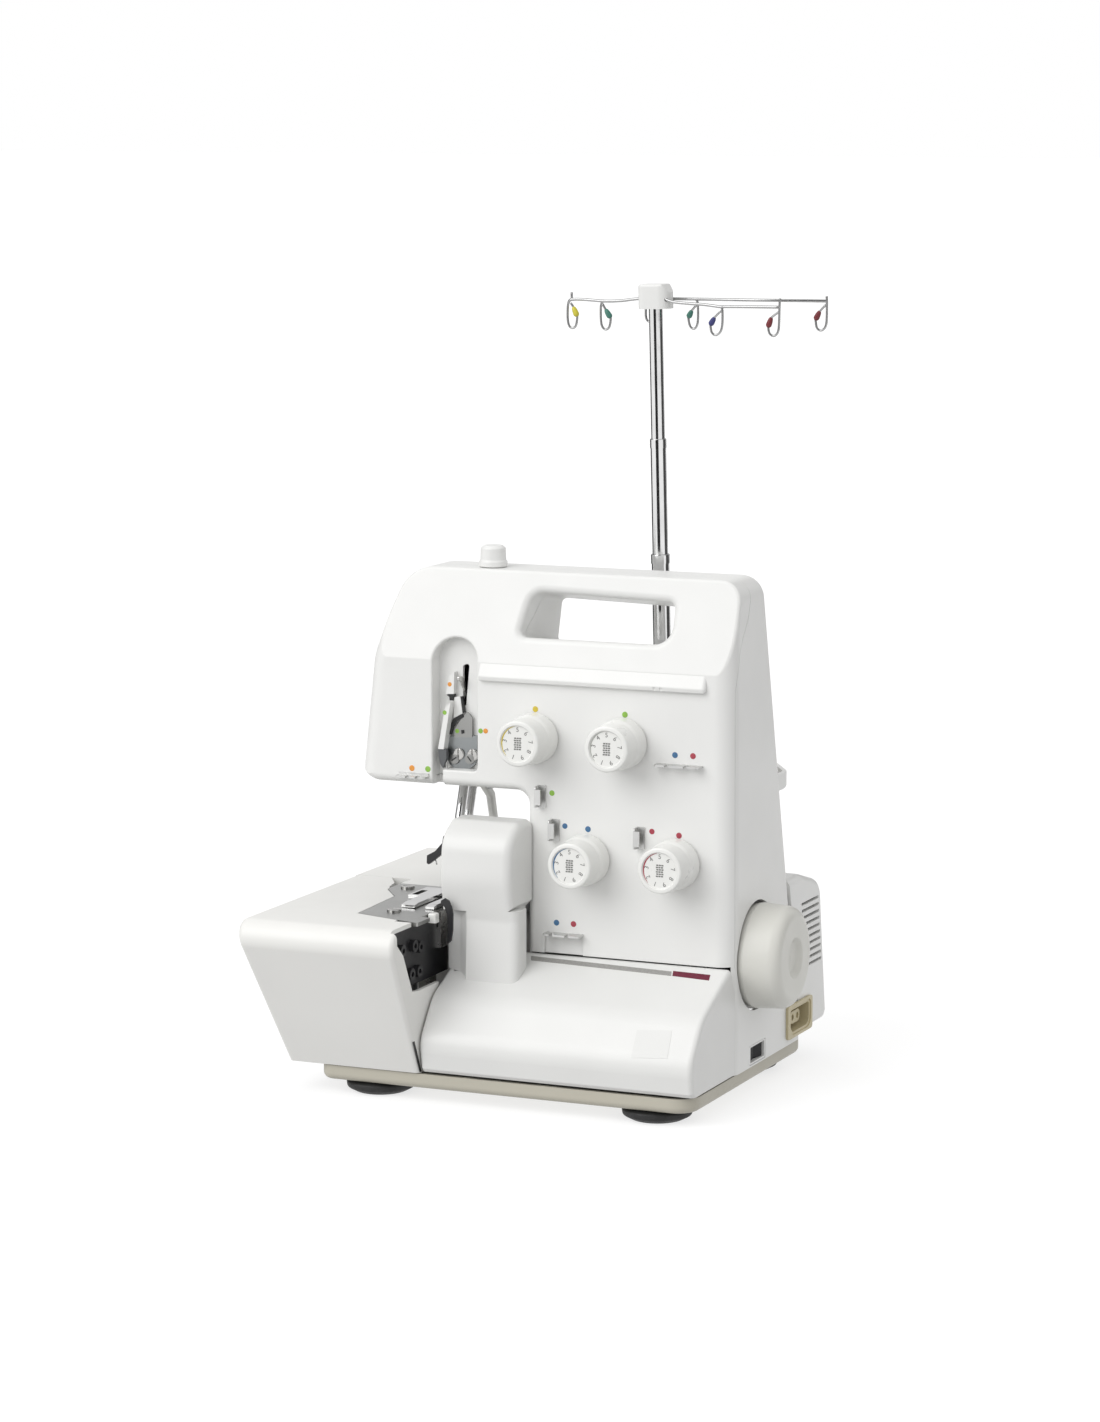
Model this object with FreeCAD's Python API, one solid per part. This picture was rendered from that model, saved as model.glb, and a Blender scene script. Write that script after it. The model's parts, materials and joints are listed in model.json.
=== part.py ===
import FreeCAD, Part
import math
import os

# Four-thread home overlock machine, millimetres, +Z up, front towards -Y.
# Modelled about the right-hand front edge of the panel (X = 0 on the right
# side, Y = 0 on the front panel, Z = 0 on the table), then shifted so that
# the origin is the centre of the footprint.

V = FreeCAD.Vector

# ---------------------------------------------------------------- dimensions
SHIFT_X, SHIFT_Y = 124.232, -36.599   # to the bottom centre of the bounding box

WALL = 2.5                # casing wall
TOP_Z = 304.0             # top of the casing
SIDE_X0, SIDE_X1 = 0.0, -1.5   # right side, bottom and top
COL_X = -129.0            # left side of the column
HEAD_Z = 176.5            # underside of the head
HEAD_X0, HEAD_X1 = -238.9, -210.7   # head's left edge, bottom and top
KNEE_X, KNEE_Z = -230.8, 252.0      # where that edge starts to lean in
CREASE_Z = 251.0          # where the forehead starts to lean back
FOREHEAD_Y = 15.4         # lean of the forehead at the top
PANEL_Z = 81.8            # bottom of the front panel
BACK_Y, BACK_K = 52.5, 0.2205  # back plane: Y = BACK_Y + (TOP_Z - z) * BACK_K
SEAM_Y = 6.4              # joint between front and rear covers
SEAM_GAP = 0.35
BASE_Z0, BASE_Z1 = 8.0, 17.0   # base pan
CASE_Z = 17.6             # bottom edge of the casings
BED_Z = 106.5             # cloth plate top
BED_X0, BED_X1 = -272.0, -170.4
BED_Y0, BED_Y1 = -102.6, 169.5
CLOTH_Y1 = 60.0           # rear edge of the swinging cloth plate
HINGE_X, HINGE_Y = -262.0, 50.0
COVER_X0 = -169.6
COVER_PIV_Y, COVER_PIV_Z = -57.5, 23.2
WHEEL_Y, WHEEL_Z, WHEEL_R = 40.5, 82.5, 30.9
MOTOR_Y, MOTOR_Z = 117.0, 72.0
NEEDLE_X, NEEDLE_Y, NEEDLE_K = -187.0, 16.0, 0.3585   # Y = 16 + (z-107)*K
TILT = math.atan(NEEDLE_K)
MAST_X, MAST_Y, MAST_Z0 = -78.4, 88.5, 176.0
MAST_LEAN = 1.4           # degrees, top to the left
DIALS = [(-123.5, 208.7), (-68.0, 209.0), (-91.0, 139.5), (-35.0, 140.9)]
TRAY_Z = 170.0

PARTS = {}


# ------------------------------------------------------------------- helpers
def box(x0, x1, y0, y1, z0, z1):
    x0, x1 = min(x0, x1), max(x0, x1)
    y0, y1 = min(y0, y1), max(y0, y1)
    z0, z1 = min(z0, z1), max(z0, z1)
    return Part.makeBox(x1 - x0, y1 - y0, z1 - z0, V(x0, y0, z0))


def cyl(p, d, r, h):
    return Part.makeCylinder(r, h, V(*p), V(*d))


def cone(p, d, r0, r1, h):
    return Part.makeCone(r0, r1, h, V(*p), V(*d))


def rwire(pts, fn):
    """Closed wire through (u, v[, r]) points with rounded corners."""
    n = len(pts)
    P = [(p[0], p[1], p[2] if len(p) > 2 else 0.0) for p in pts]
    segs = []
    for i in range(n):
        ax, ay, _ = P[i - 1]
        bx, by, r = P[i]
        cx, cy, _ = P[(i + 1) % n]
        if r <= 0:
            segs.append(((bx, by), None, (bx, by)))
            continue
        ux, uy = ax - bx, ay - by
        vx, vy = cx - bx, cy - by
        lu, lv = math.hypot(ux, uy), math.hypot(vx, vy)
        ux, uy, vx, vy = ux / lu, uy / lu, vx / lv, vy / lv
        half = math.acos(max(-1, min(1, ux * vx + uy * vy))) / 2
        t = r / math.tan(half)
        t = min(t, 0.49 * lu, 0.49 * lv)
        r2 = t * math.tan(half)
        a = (bx + ux * t, by + uy * t)
        c = (bx + vx * t, by + vy * t)
        wx, wy = ux + vx, uy + vy
        lw = math.hypot(wx, wy)
        k = r2 / math.sin(half) - r2
        m = (bx + wx / lw * k, by + wy / lw * k)
        segs.append((a, m, c))
    edges = []
    for i in range(n):
        a, m, c = segs[i]
        if m is not None:
            edges.append(Part.Arc(fn(*a), fn(*m), fn(*c)).toShape())
        nxt = segs[(i + 1) % n][0]
        if math.hypot(nxt[0] - c[0], nxt[1] - c[1]) > 1e-4:
            edges.append(Part.LineSegment(fn(*c), fn(*nxt)).toShape())
    return Part.Wire(edges)


def prism(pts, plane, a, b):
    """Prism of a rounded polygon: plane 'x' takes (y, z), 'y' (x, z), 'z' (x, y)."""
    if plane == "x":
        fn, d = (lambda u, v: V(a, u, v)), V(b - a, 0, 0)
    elif plane == "y":
        fn, d = (lambda u, v: V(u, a, v)), V(0, b - a, 0)
    else:
        fn, d = (lambda u, v: V(u, v, a)), V(0, 0, b - a)
    return Part.Face(rwire(pts, fn)).extrude(d)


def revolve(pts, plane, base, axis):
    """Solid of revolution of (along, radius[, r]) points about an axis."""
    if plane == "x":
        fn = lambda u, v: V(base[0] + u, base[1], base[2] + v)
    elif plane == "y":
        fn = lambda u, v: V(base[0], base[1] + u, base[2] + v)
    else:
        fn = lambda u, v: V(base[0] + v, base[1], base[2] + u)
    return Part.Face(rwire(pts, fn)).revolve(V(*base), V(*axis), 360)


def fil(shape, radii, sel):
    """Fillet the chosen edges, falling back to smaller radii."""
    edges = [e for e in shape.Edges if sel(e)]
    if not edges:
        print("   no edges to round")
        return shape
    for r in radii:
        try:
            s = shape.makeFillet(r, edges)
            if s.isValid() and s.Volume > 0:
                return s
        except Exception:
            pass
    print("   rounding left out", radii, len(edges))
    return shape


def mid(e):
    return e.valueAt((e.FirstParameter + e.LastParameter) / 2)


def bb(e):
    return e.BoundBox


def tube(path_pts, r, radii=None):
    """Round wire along points joined by tangent arcs."""
    n = len(path_pts)
    P = [V(*p) for p in path_pts]
    edges, last = [], P[0]
    for i in range(1, n - 1):
        a, b, c = P[i - 1], P[i], P[i + 1]
        u, v = (a - b), (c - b)
        lu, lv = u.Length, v.Length
        u.normalize(); v.normalize()
        half = u.getAngle(v) / 2
        rr = radii[i - 1] if radii else 4 * r
        t = min(rr / math.tan(half), 0.48 * lu, 0.48 * lv)
        rr = t * math.tan(half)
        p, q = b + u * t, b + v * t
        w = (u + v); w.normalize()
        m = b + w * (rr / math.sin(half) - rr)
        if (p - last).Length > 1e-4:
            edges.append(Part.LineSegment(last, p).toShape())
        edges.append(Part.Arc(p, m, q).toShape())
        last = q
    edges.append(Part.LineSegment(last, P[-1]).toShape())
    wire = Part.Wire(edges)
    d = (P[1] - P[0]); d.normalize()
    circ = Part.Wire(Part.Circle(P[0], d, r).toShape())
    return wire.makePipeShell([circ], True, True)


def fuse(first, *rest):
    s = first
    for o in rest:
        s = s.fuse(o)
    return s.removeSplitter()


def comp(solids):
    return Part.Compound(solids)


def put(name, shape):
    solids = shape.Solids
    bad = [s for s in solids if not s.isValid() or s.Volume <= 0]
    print("%-24s solids %d vol %.1f%s" % (name, len(solids), shape.Volume / 1000.0,
                                          "  INVALID" if bad else ""))
    PARTS[name] = shape


def back_y(z):
    return BACK_Y + (TOP_Z - z) * BACK_K


def bar_y(z, off=0.0):
    return NEEDLE_Y + off + (z - 107.0) * NEEDLE_K


# ------------------------------------------------- casing of column and head
K_FORE = FOREHEAD_Y / (TOP_Z - CREASE_Z)


def casing(d, zb, rf, rs, rb):
    """Body inset by d: rf rounds the outer front edge, rs the inner one, rb the back."""
    low = HEAD_X0 + (zb - HEAD_Z) * (KNEE_X - HEAD_X0) / (KNEE_Z - HEAD_Z)
    a = prism([(SIDE_X0 - d, zb), (SIDE_X1 - d, TOP_Z - d, 13 - d), (HEAD_X1 + 0.68 * d, TOP_Z - d, 22 - d),
               (KNEE_X + d, KNEE_Z - 0.1 * d, 40), (low + d, zb)], "y", d, 200)
    a = fil(a, rf, lambda e: abs(bb(e).YMax - d) < 0.01 and bb(e).ZMax > zb + 1)
    a = a.common(prism([(d - 5, zb - 2), (d - 5, 340), (back_y(340) - d, 340), (back_y(zb - 2) - d, zb - 2)],
                       "x", -320, 60))
    a = fil(a, rb, lambda e: abs(mid(e).y - (back_y(mid(e).z) - d)) < 0.3 and bb(e).ZMax > zb + 1)
    top = HEAD_X0 + (345 - HEAD_Z) * (KNEE_X - HEAD_X0) / (KNEE_Z - HEAD_Z)
    b = prism([(30, zb - 1), (30, 345), (top + d, 345), (HEAD_X0 + d, HEAD_Z + d, 12 - d),
               (COL_X + d, HEAD_Z + d, 8 + d), (COL_X + d, zb - 1)], "y", d, 210)
    b = fil(b, rs, lambda e: abs(bb(e).YMax - d) < 0.01 and mid(e).x < COL_X + 20 and mid(e).z < 340
            and bb(e).ZMax > zb and not (bb(e).XLength > 200))
    s = a.common(b)
    # the forehead leans back from a crease
    return s.common(prism([(d - 3, zb - 5), (d - 3, CREASE_Z - 6), (d, CREASE_Z), (1.04 * d + K_FORE * (345 - CREASE_Z), 345),
                           (220, 345), (220, zb - 5)], "x", -320, 60))


outer = casing(0.0, CASE_Z, (11.0, 9.0), (5.0, 4.0), (6.0, 5.0))
on_lean = lambda e: abs(mid(e).y - K_FORE * (mid(e).z - CREASE_Z)) < 0.05
for zlo in (262, 285, 303):
    n0 = len(outer.Faces)
    outer = fil(outer, (2.0, 1.5, 1.0), lambda e: on_lean(e) and mid(e).z > zlo)
    if len(outer.Faces) > n0:
        print("   forehead edge rounded above", zlo)
        break
outer = outer.cut(prism([(-60, CASE_Z - 1), (4.4, CASE_Z - 1), (4.4, 73.0), (0, PANEL_Z), (-60, PANEL_Z)], "x", -320, 60))
inner = casing(WALL, CASE_Z - 8, (8.5, 6.5), (2.5, 2.0), (3.5, 3.0))
inner = inner.cut(box(-320, 60, -60, SEAM_Y, PANEL_Z - 0.01, PANEL_Z + 2.6))
inner = inner.fuse(box(COL_X + WALL, -WALL - 0.35, -30, SEAM_Y + 6, CASE_Z - 8, PANEL_Z - 0.01))


# carrying handle: a window right through the top, falling towards the back
def handle(d):
    def ring(y, tl, br):
        dz = -0.19 * (y - 8.0)
        return rwire([(-137 - d, 266 - d + dz, 4 + d), (-131 - d, 293.3 + d + dz, tl), (-42 + d, 291 + d + dz, 4 + d),
                      (-42 + d, 266 - d + dz, br)], lambda u, v: V(u, y, v))
    return Part.makeLoft([ring(-30, 15 + d, 13 + d), ring(75, 2 + d, 9 + d)], True, True)


# recess for the needle thread path: arched, with a narrow slot to the bottom
def recess(d, depth):
    a = prism([(-190 - d, 186 - d, 3), (-190 - d, 264 + d, 14.4 + d), (-161 + d, 264 + d, 14.4 + d),
               (-161 + d, 186 - d, 3)], "y", -20, depth + d)
    b = box(-190 - d, -183 + d, -20, depth + d, 160, 215)
    return a.fuse(b)


shell_out = outer.cut(handle(0.0)).cut(recess(0.0, 11.0))
shell_out = fil(shell_out, (4.0, 3.0, 2.0), lambda e: (
    -140 < mid(e).x < -39 and 262 < mid(e).z < 297 and on_lean(e) and bb(e).YLength < 9))
shell_out = fil(shell_out, (2.0, 1.2, 0.8), lambda e: (
    -191 < mid(e).x < -160 and 190 < mid(e).z < 266 and mid(e).y < 5 and bb(e).YLength < 4
    and abs(mid(e).y - max(0.0, K_FORE * (mid(e).z - CREASE_Z))) < 0.5
    and not (bb(e).XLength > 60)))
shell_in = inner.cut(handle(WALL)).cut(recess(WALL, 11.0))
shell = shell_out.cut(shell_in)


def front_zone(g):
    # the joint runs up just behind the panel's edge, then sweeps back to the middle of the top
    s = prism([(-80, PANEL_Z - 1), (SEAM_Y + g, PANEL_Z - 1), (SEAM_Y + g, 242, 40), (12.5 + g, 267, 30), (25 + g, 282 - g, 20),
               (30 + g, 297, 12), (30 + g, 340), (-80, 340)], "x", -320, 60)
    # the moulded cup of the thread recess belongs to the front cover
    return s.fuse(box(-192.8 - g, -158.2 + g, 0, 13.8 + g, 181.5 - g, 266.8 + g))


front = shell.common(front_zone(0.0))
rear = shell.cut(front_zone(SEAM_GAP))
# slot for the take-up lever in the recess floor
front = front.cut(prism([(-175.2, 223.0, 0.6), (-174.95, 247.0, 1.6), (-170.6, 248.5, 2.0), (-172.9, 223.0, 0.6)], "y", 5, 30))
for x, z in DIALS:
    front = front.cut(cyl((x, -5, z), (0, 1, 0), 3.1, 30))
# shallow pocket under the lower left guide
front = front.fuse(box(-120, -91.5, 1.5, 6.2, PANEL_Z + 1, 95.5)).removeSplitter()
front = front.cut(prism([(-1, 93), (3.6, 93, 0.8), (1.3, 79), (-1, 79)], "x", -118, -93.5))
rear = rear.cut(cyl((5, WHEEL_Y, WHEEL_Z), (-1, 0, 0), WHEEL_R + 1.5, 12))
rear = rear.cut(box(-3.6, 5, 28.6, 54.4, 18.6, 30.3))
# belt and motor window in the back wall, behind the motor cover
rear = rear.cut(box(-120, -2.6, 78, 130, 20, 108))
rear = rear.cut(box(-6, 5, 93.4, 128.6, 22.9, 39.8))
rear = rear.cut(box(-140, -120, 0, 104, 0, 25.5))
# openings for the bars and the knob
rear = rear.cut(prism([(-192.5, 31, 4), (-192.5, 63, 4), (-179.5, 63, 4), (-179.5, 31, 4)], "z", 170, 183))
rear = rear.cut(cyl((-162.5, 27, 290), (0, 0, 1), 4.2, 30))
front = front.cut(cyl((-162.5, 27, 290), (0, 0, 1), 4.2, 30))
fs = sorted(front.Solids, key=lambda s: -s.Volume)
rs = sorted(rear.Solids, key=lambda s: -s.Volume)
print("front pieces", [round(s.Volume) for s in fs], "rear pieces", [round(s.Volume) for s in rs])
put("front_cover", fs[0])
put("rear_cover", rs[0])

# ---------------------------------------------------------------- base, feet
pan = prism([(-236, -59.5, 8), (-236, 126, 14), (-1.5, 126, 14), (-1.5, -59.5, 14)], "z", BASE_Z0, BASE_Z1)
pan = fil(pan, (4.0, 3.0), lambda e: abs(bb(e).ZMax - BASE_Z0) < 0.01)
pan = pan.cut(prism([(-233, -56.5, 5), (-233, 123, 11), (-4.5, 123, 11), (-4.5, -56.5, 11)], "z", BASE_Z0 + 3, 30))
for x, y in ((-215, 14), (-215, 50), (-26, 14), (-26, 92)):
    pan = pan.fuse(cyl((x, y, BASE_Z0 + 2), (0, 0, 1), 7, BASE_Z1 - BASE_Z0 - 2))
put("base_pan", pan.removeSplitter())

feet = []
for x, y in ((-31, -38), (-206, -38), (-31, 100), (-206, 100)):
    feet.append(revolve([(0, 0), (0, 15.0, 2), (2.6, 20.0, 2), (6.0, 20.5, 1.5), (8.0, 16), (8.0, 0)], "z",
                        (x, y, 0), (0, 0, 1)))
put("rubber_feet", comp(feet))

# -------------------------------------------------------- cast machine frame
frame = box(-230, -120, 6, 58, BASE_Z1, 25).fuse(box(-126, -19.5, 6, 101, BASE_Z1, 25))
frame = frame.fuse(box(-118, -92, 22, 56.5, 25, 240))
frame = frame.fuse(prism([(22, 180), (22, 240), (50, 240), (60, 195), (60, 180)], "x", -216, -92)
                   .cut(prism([(-193.5, 20, 2), (-193.5, 63, 2), (-165, 63, 2), (-165, 20, 2)], "z", 170, 260)))
frame = frame.fuse(box(-40, -28, 24, 57, 25, 100))
# guide block for the two bars, and its webs
blk = box(-196, -162, 32, 64, 181, 193)
frame = frame.fuse(blk).removeSplitter()
tdir = (0, math.sin(TILT), math.cos(TILT))
for off in (0.0, 12.5):
    frame = frame.cut(cyl((NEEDLE_X, bar_y(150, off), 150), tdir, 3.05, 75))
frame = frame.cut(cyl((30, WHEEL_Y, WHEEL_Z), (-1, 0, 0), 8.0, 200))
frame = frame.cut(box(-119, -91, -5, 21.9, 120, 225))
leg = box(-229.4, -213, 26, 45, 98, 104.3).fuse(box(-212, -180.2, -47, -26, 98, 104.3)).fuse(box(-229.4, -213.4, -47, 45, 92, 98))
leg = leg.fuse(box(-229.4, -180.2, -47, -38, 92, 98)).fuse(box(-229.4, -219, -24, 40, 25, 92)).fuse(box(-229.4, -219, 6, 40, 20, 26))
leg = leg.cut(cyl((-222, 33, 80), (0, 0, 1), 2.1, 40)).cut(cyl((-198, -36, 80), (0, 0, 1), 2.1, 40))
frame = frame.fuse(leg).removeSplitter()
print("frame pieces", [round(q.Volume) for q in frame.Solids])
put("machine_frame", frame)
b1 = cyl((-118, WHEEL_Y, WHEEL_Z), (1, 0, 0), 8.0, 26).cut(cyl((-120, WHEEL_Y, WHEEL_Z), (1, 0, 0), 5.05, 40))
b2 = cyl((-40, WHEEL_Y, WHEEL_Z), (1, 0, 0), 8.0, 12).cut(cyl((-45, WHEEL_Y, WHEEL_Z), (1, 0, 0), 5.05, 40))
put("shaft_bushes", comp([b1, b2]))

# --------------------------------------------------- main shaft and handwheel
shaft = cyl((-124.5, WHEEL_Y, WHEEL_Z), (1, 0, 0), 5.0, 140.7).fuse(cyl((-124.5, WHEEL_Y, WHEEL_Z), (1, 0, 0), 14, 5))
put("main_shaft", shaft.removeSplitter())
wheel = revolve([(-4.0, 5.0), (-4.0, 9.5), (12.5, 9.5), (12.5, 24.5, 4), (-4.0, 27.2), (-4.0, 29.6, 0.6),
                 (2.0, WHEEL_R, 2), (23.4, 29.6, 7), (23.4, 12.0, 1.6), (20.4, 9.0, 2.5), (19.8, 0), (16.2, 0),
                 (16.2, 5.0)], "x", (0, WHEEL_Y, WHEEL_Z), (1, 0, 0))
put("handwheel", wheel)
pul = revolve([(-23, 5.0), (-23, 25, 0.6), (-21.5, 25, 0.6), (-21.0, 22), (-10.0, 22), (-9.5, 25, 0.6), (-8, 25, 0.6), (-8, 5.0)],
              "x", (0, WHEEL_Y, WHEEL_Z), (1, 0, 0))
put("main_pulley", pul)

# ---------------------------------------------------------------------- motor
mot = cyl((-96, MOTOR_Y, MOTOR_Z), (1, 0, 0), 21.5, 66)
mot = fil(mot, (3.0,), lambda e: True)
mot = mot.fuse(cyl((-31, MOTOR_Y, MOTOR_Z), (1, 0, 0), 8, 5))
mot = mot.fuse(box(-90, -36, 84, 100.5, 25, 60)).fuse(box(-90, -36, 84, 112, 42, 60)).cut(cyl((-40, MOTOR_Y, MOTOR_Z), (1, 0, 0), 3.05, 40)).removeSplitter()
put("motor", mot)
mp = cyl((-38, MOTOR_Y, MOTOR_Z), (1, 0, 0), 3.0, 32)
mp = mp.fuse(revolve([(-23, 2.0), (-23, 10.5, 0.5), (-21.5, 10.5, 0.5), (-21, 8), (-10, 8), (-9.5, 10.5, 0.5), (-8, 10.5, 0.5), (-8, 2.0)],
                     "x", (0, MOTOR_Y, MOTOR_Z), (1, 0, 0))).removeSplitter()
put("motor_pulley", mp)


def belt_loop(r1, r2, x0, x1):
    dy, dz = MOTOR_Y - WHEEL_Y, MOTOR_Z - WHEEL_Z
    L = math.hypot(dy, dz)
    th = math.atan2(dz, dy)
    al = math.acos((r1 - r2) / L)
    pts = []
    for s in (1, -1):
        a = th + s * al
        pts.append(((WHEEL_Y + r1 * math.cos(a), WHEEL_Z + r1 * math.sin(a)),
                    (MOTOR_Y + r2 * math.cos(a), MOTOR_Z + r2 * math.sin(a))))
    f = lambda p: V(x0, p[0], p[1])
    m2 = (MOTOR_Y + r2 * math.cos(th), MOTOR_Z + r2 * math.sin(th))
    m1 = (WHEEL_Y - r1 * math.cos(th), WHEEL_Z - r1 * math.sin(th))
    w = Part.Wire([Part.LineSegment(f(pts[0][0]), f(pts[0][1])).toShape(),
                   Part.Arc(f(pts[0][1]), f(m2), f(pts[1][1])).toShape(),
                   Part.LineSegment(f(pts[1][1]), f(pts[1][0])).toShape(),
                   Part.Arc(f(pts[1][0]), f(m1), f(pts[0][0])).toShape()])
    return Part.Face(w).extrude(V(x1 - x0, 0, 0))


belt = belt_loop(24.2, 10.2, -20.2, -10.8).cut(belt_loop(22.35, 8.35, -30, 0))
put("drive_belt", belt)

# ---------------------------------------------------------------- motor cover
MC_Z = 20.5
mc_prof = [(70, MC_Z), (70, 117.5), (116, 117.5, 30), (150.5, 108, 14), (162.5, 25, 5), (158, MC_Z, 3)]
mc = prism(mc_prof, "x", -128.8, -0.4)
mc = fil(mc, (9.0, 7.0, 5.0), lambda e: abs(mid(e).x + 0.4) < 0.01 and mid(e).z > MC_Z + 1 and mid(e).y > 71)
mci = prism([(60, CASE_Z - 8), (60, 115.0), (115.4, 115.0, 27), (148.0, 106.4, 11.5), (159.6, 26, 3), (159.6, CASE_Z - 8)], "x", -126.3, -2.9)
mci = fil(mci, (6.5, 5.0, 3.0), lambda e: abs(mid(e).x + 2.9) < 0.01 and mid(e).z > CASE_Z + 1 and mid(e).y > 71)
mc = mc.cut(mci)
mc = mc.cut(prism([(60, 0), (60, 200), (back_y(200) + 0.3, 200), (back_y(0) + 0.3, 0)], "x", -300, 60))
for i in range(10):
    z = 60.0 + i * 4.3
    ye = 151.0 - (z - 59) * 0.15
    mc = mc.cut(prism([(ye - 30, z - 0.9, 0.85), (ye - 30, z + 0.9, 0.85), (ye, z + 0.9, 0.85), (ye, z - 0.9, 0.85)], "x", -6, 5))
mc = mc.cut(box(-6, 5, 93.4, 128.6, 22.9, 39.8))
mcs = sorted(mc.Solids, key=lambda s: -s.Volume)
print("motor cover pieces", [round(s.Volume) for s in mcs])
put("motor_cover", mcs[0])

# ------------------------------------------------------- power inlet, switch
inl = prism([(88.6, 21.2, 2.5), (88.6, 41.4, 2.5), (130.6, 41.4, 2.5), (130.6, 21.2, 2.5)], "x", 0.05, 1.6)
inl = inl.fuse(box(-17, 0.5, 93.6, 128.4, 23.1, 39.6))
inl = inl.cut(prism([(94.5, 24.6, 5), (94.5, 38.2, 2), (125.8, 38.2, 2), (125.8, 24.6, 5)], "x", -13.5, 3))
inl = inl.cut(prism([(92.2, 22.9, 6.5), (92.2, 39.8, 3.5), (128.0, 39.8, 3.5), (128.0, 22.9, 6.5)], "x", 0.9, 3))
tongue = prism([(103, 27.6, 3.5), (103, 35.2, 3.5), (119, 35.2, 3.5), (119, 27.6, 3.5)], "x", -14.2, -2.5)
for y in (107.0, 115.0):
    tongue = tongue.cut(cyl((-14.0, y, 31.4), (1, 0, 0), 1.9, 20))
inl = inl.fuse(tongue)
put("power_inlet", inl.removeSplitter())
pins = [cyl((-16.0, y, 31.4), (1, 0, 0), 1.2, 11).fuse(cyl((-18.5, y, 31.4), (1, 0, 0), 1.2, 3)).removeSplitter() for y in (107.0, 115.0)]
inl2 = PARTS["power_inlet"]
for y in (107.0, 115.0):
    inl2 = inl2.cut(cyl((-20, y, 31.4), (1, 0, 0), 1.2, 8))
put("power_inlet", comp([inl2] + pins))

sf = prism([(28.9, 18.9, 1.2), (28.9, 30.0, 1.2), (54.1, 30.0, 1.2), (54.1, 18.9, 1.2)], "x", -14, -0.2)
sf = sf.cut(prism([(30.1, 19.9, 0.5), (30.1, 29.1, 0.5), (52.9, 29.1, 0.5), (52.9, 19.9, 0.5)], "x", -12.6, 3))
put("switch_frame", sf)
rk = prism([(-9.0, 34.2, 1), (-1.4, 31.6, 0.8), (-2.8, 41.0, 4), (-0.7, 51.3, 0.8), (-9.0, 48.8, 1)], "z", 20.3, 28.7)
put("power_rocker", rk)

# --------------------------------------------------------- rear bed (fixed)
def bed_x(z, d=0.0):
    return BED_X0 + d + (BED_Z - z) * 0.19


def bed_section(d, zb):
    return [(bed_x(zb, d), zb), (bed_x(BED_Z - d, d), BED_Z - d, 3.0), (-129.4 - d, BED_Z - d), (-129.4 - d, zb)]


bed = prism(bed_section(0, CASE_Z), "y", CLOTH_Y1 + 0.5, BED_Y1)
bed = fil(bed, (8.0, 5.0), lambda e: abs(mid(e).y - BED_Y1) < 0.01 and abs(bb(e).XLength) < 20 and bb(e).ZLength > 50 and mid(e).x < -200)
bed = fil(bed, (2.5, 1.5), lambda e: abs(mid(e).y - BED_Y1) < 0.01 and bb(e).XLength > 60 and abs(mid(e).z - BED_Z) < 1)
bed = bed.cut(prism(bed_section(WALL, CASE_Z - 8), "y", CLOTH_Y1 + 3.0, BED_Y1 - WALL))
deck = box(-232.4, -129.4, 45.4, CLOTH_Y1 + 1.5, 103.5, BED_Z).fuse(box(-232.4, -129.4, 45.4, 48, 62, BED_Z))
deck = deck.fuse(box(-232.4, -229.8, 45.4, CLOTH_Y1 + 1.5, 62, BED_Z))
bed = bed.fuse(deck)
# hinge block for the cloth plate
hb = prism([(-262, 45.6, 0), (-257.6, 45.6, 0), (-246, 61.5, 0), (-258, 61.5, 0), (-262, 54.2, 0)], "z", 80, 87.4)
hb = hb.fuse(cyl((HINGE_X, HINGE_Y, 80), (0, 0, 1), 4.3, 7.4))
bed = bed.fuse(hb).cut(cyl((HINGE_X, HINGE_Y, 70), (0, 0, 1), 2.5, 60))
# stitch length dial and feed lever openings on the left
bed = bed.cut(cyl((-300, 96, 62), (1, 0, 0), 3.06, 60))
bed = bed.cut(box(-290, -240, 125, 147, 58.4, 65.6))
bs = sorted(bed.removeSplitter().Solids, key=lambda s: -s.Volume)
print("bed pieces", [round(s.Volume) for s in bs])
put("bed_cover", bs[0])

# ------------------------------------------------- cloth plate (swings left)
def plate_body(d, zb):
    fy = lambda z: BED_Y0 + 1.104 * d + (BED_Z - z) * 0.468
    a = prism([(fy(BED_Z - d), BED_Z - d, 11 - d), (fy(zb), zb), (CLOTH_Y1, zb), (CLOTH_Y1, BED_Z - d)], "x", -300, BED_X1 - d)
    b = prism([(bed_x(zb, d), zb), (bed_x(BED_Z - d, d), BED_Z - d), (-100, BED_Z - d), (-100, zb)], "y", -120, 80)
    s = a.common(b)
    if d:
        return s
    return fil(s, (4.0, 3.5, 3.0, 2.0), lambda e: abs(mid(e).x - bed_x(mid(e).z)) < 0.05 and mid(e).y < CLOTH_Y1 - 1 and mid(e).z > zb + 1)


cp = plate_body(0, CASE_Z)
cp = fil(cp, (3.0, 2.0, 1.0), lambda e: abs(mid(e).x - BED_X1) < 0.01 and mid(e).y < -58 and mid(e).z > CASE_Z + 1)
cp = cp.cut(plate_body(WALL, CASE_Z - 8).cut(box(-300, -100, 57.4, 90, 0, 200)))
# the needle plate's place; in front, the right wall is kept below the bay
seat = [(-160, -66.3), (-171, -62.9), (-215.4, -49.4), (-218.4, 6.4), (-231.6, 24.8), (-232.6, 30), (-234.6, 34),
        (-236.5, 45), (-248, 64), (-100, 64)]
cp = cp.cut(prism(seat, "z", 66.6, 200)).cut(prism(seat, "z", 0, 80).common(box(-300, 0, -34, 100, 0, 200)))
# opening in the right wall over the knife bay
cp = cp.cut(prism([(-90.5, 108), (-90.0, 98.2), (-81.9, 90.9), (-69.9, 67.6), (-60, 66.6), (-20, 66.6), (-20, 108)], "x", BED_X1 - 4.0, BED_X1 + 8))
cp = cp.cut(box(-185, -160, -62.6, 0, 66.6, 200)).cut(box(-185, -160, -34, 0, 0, 200))
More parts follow.
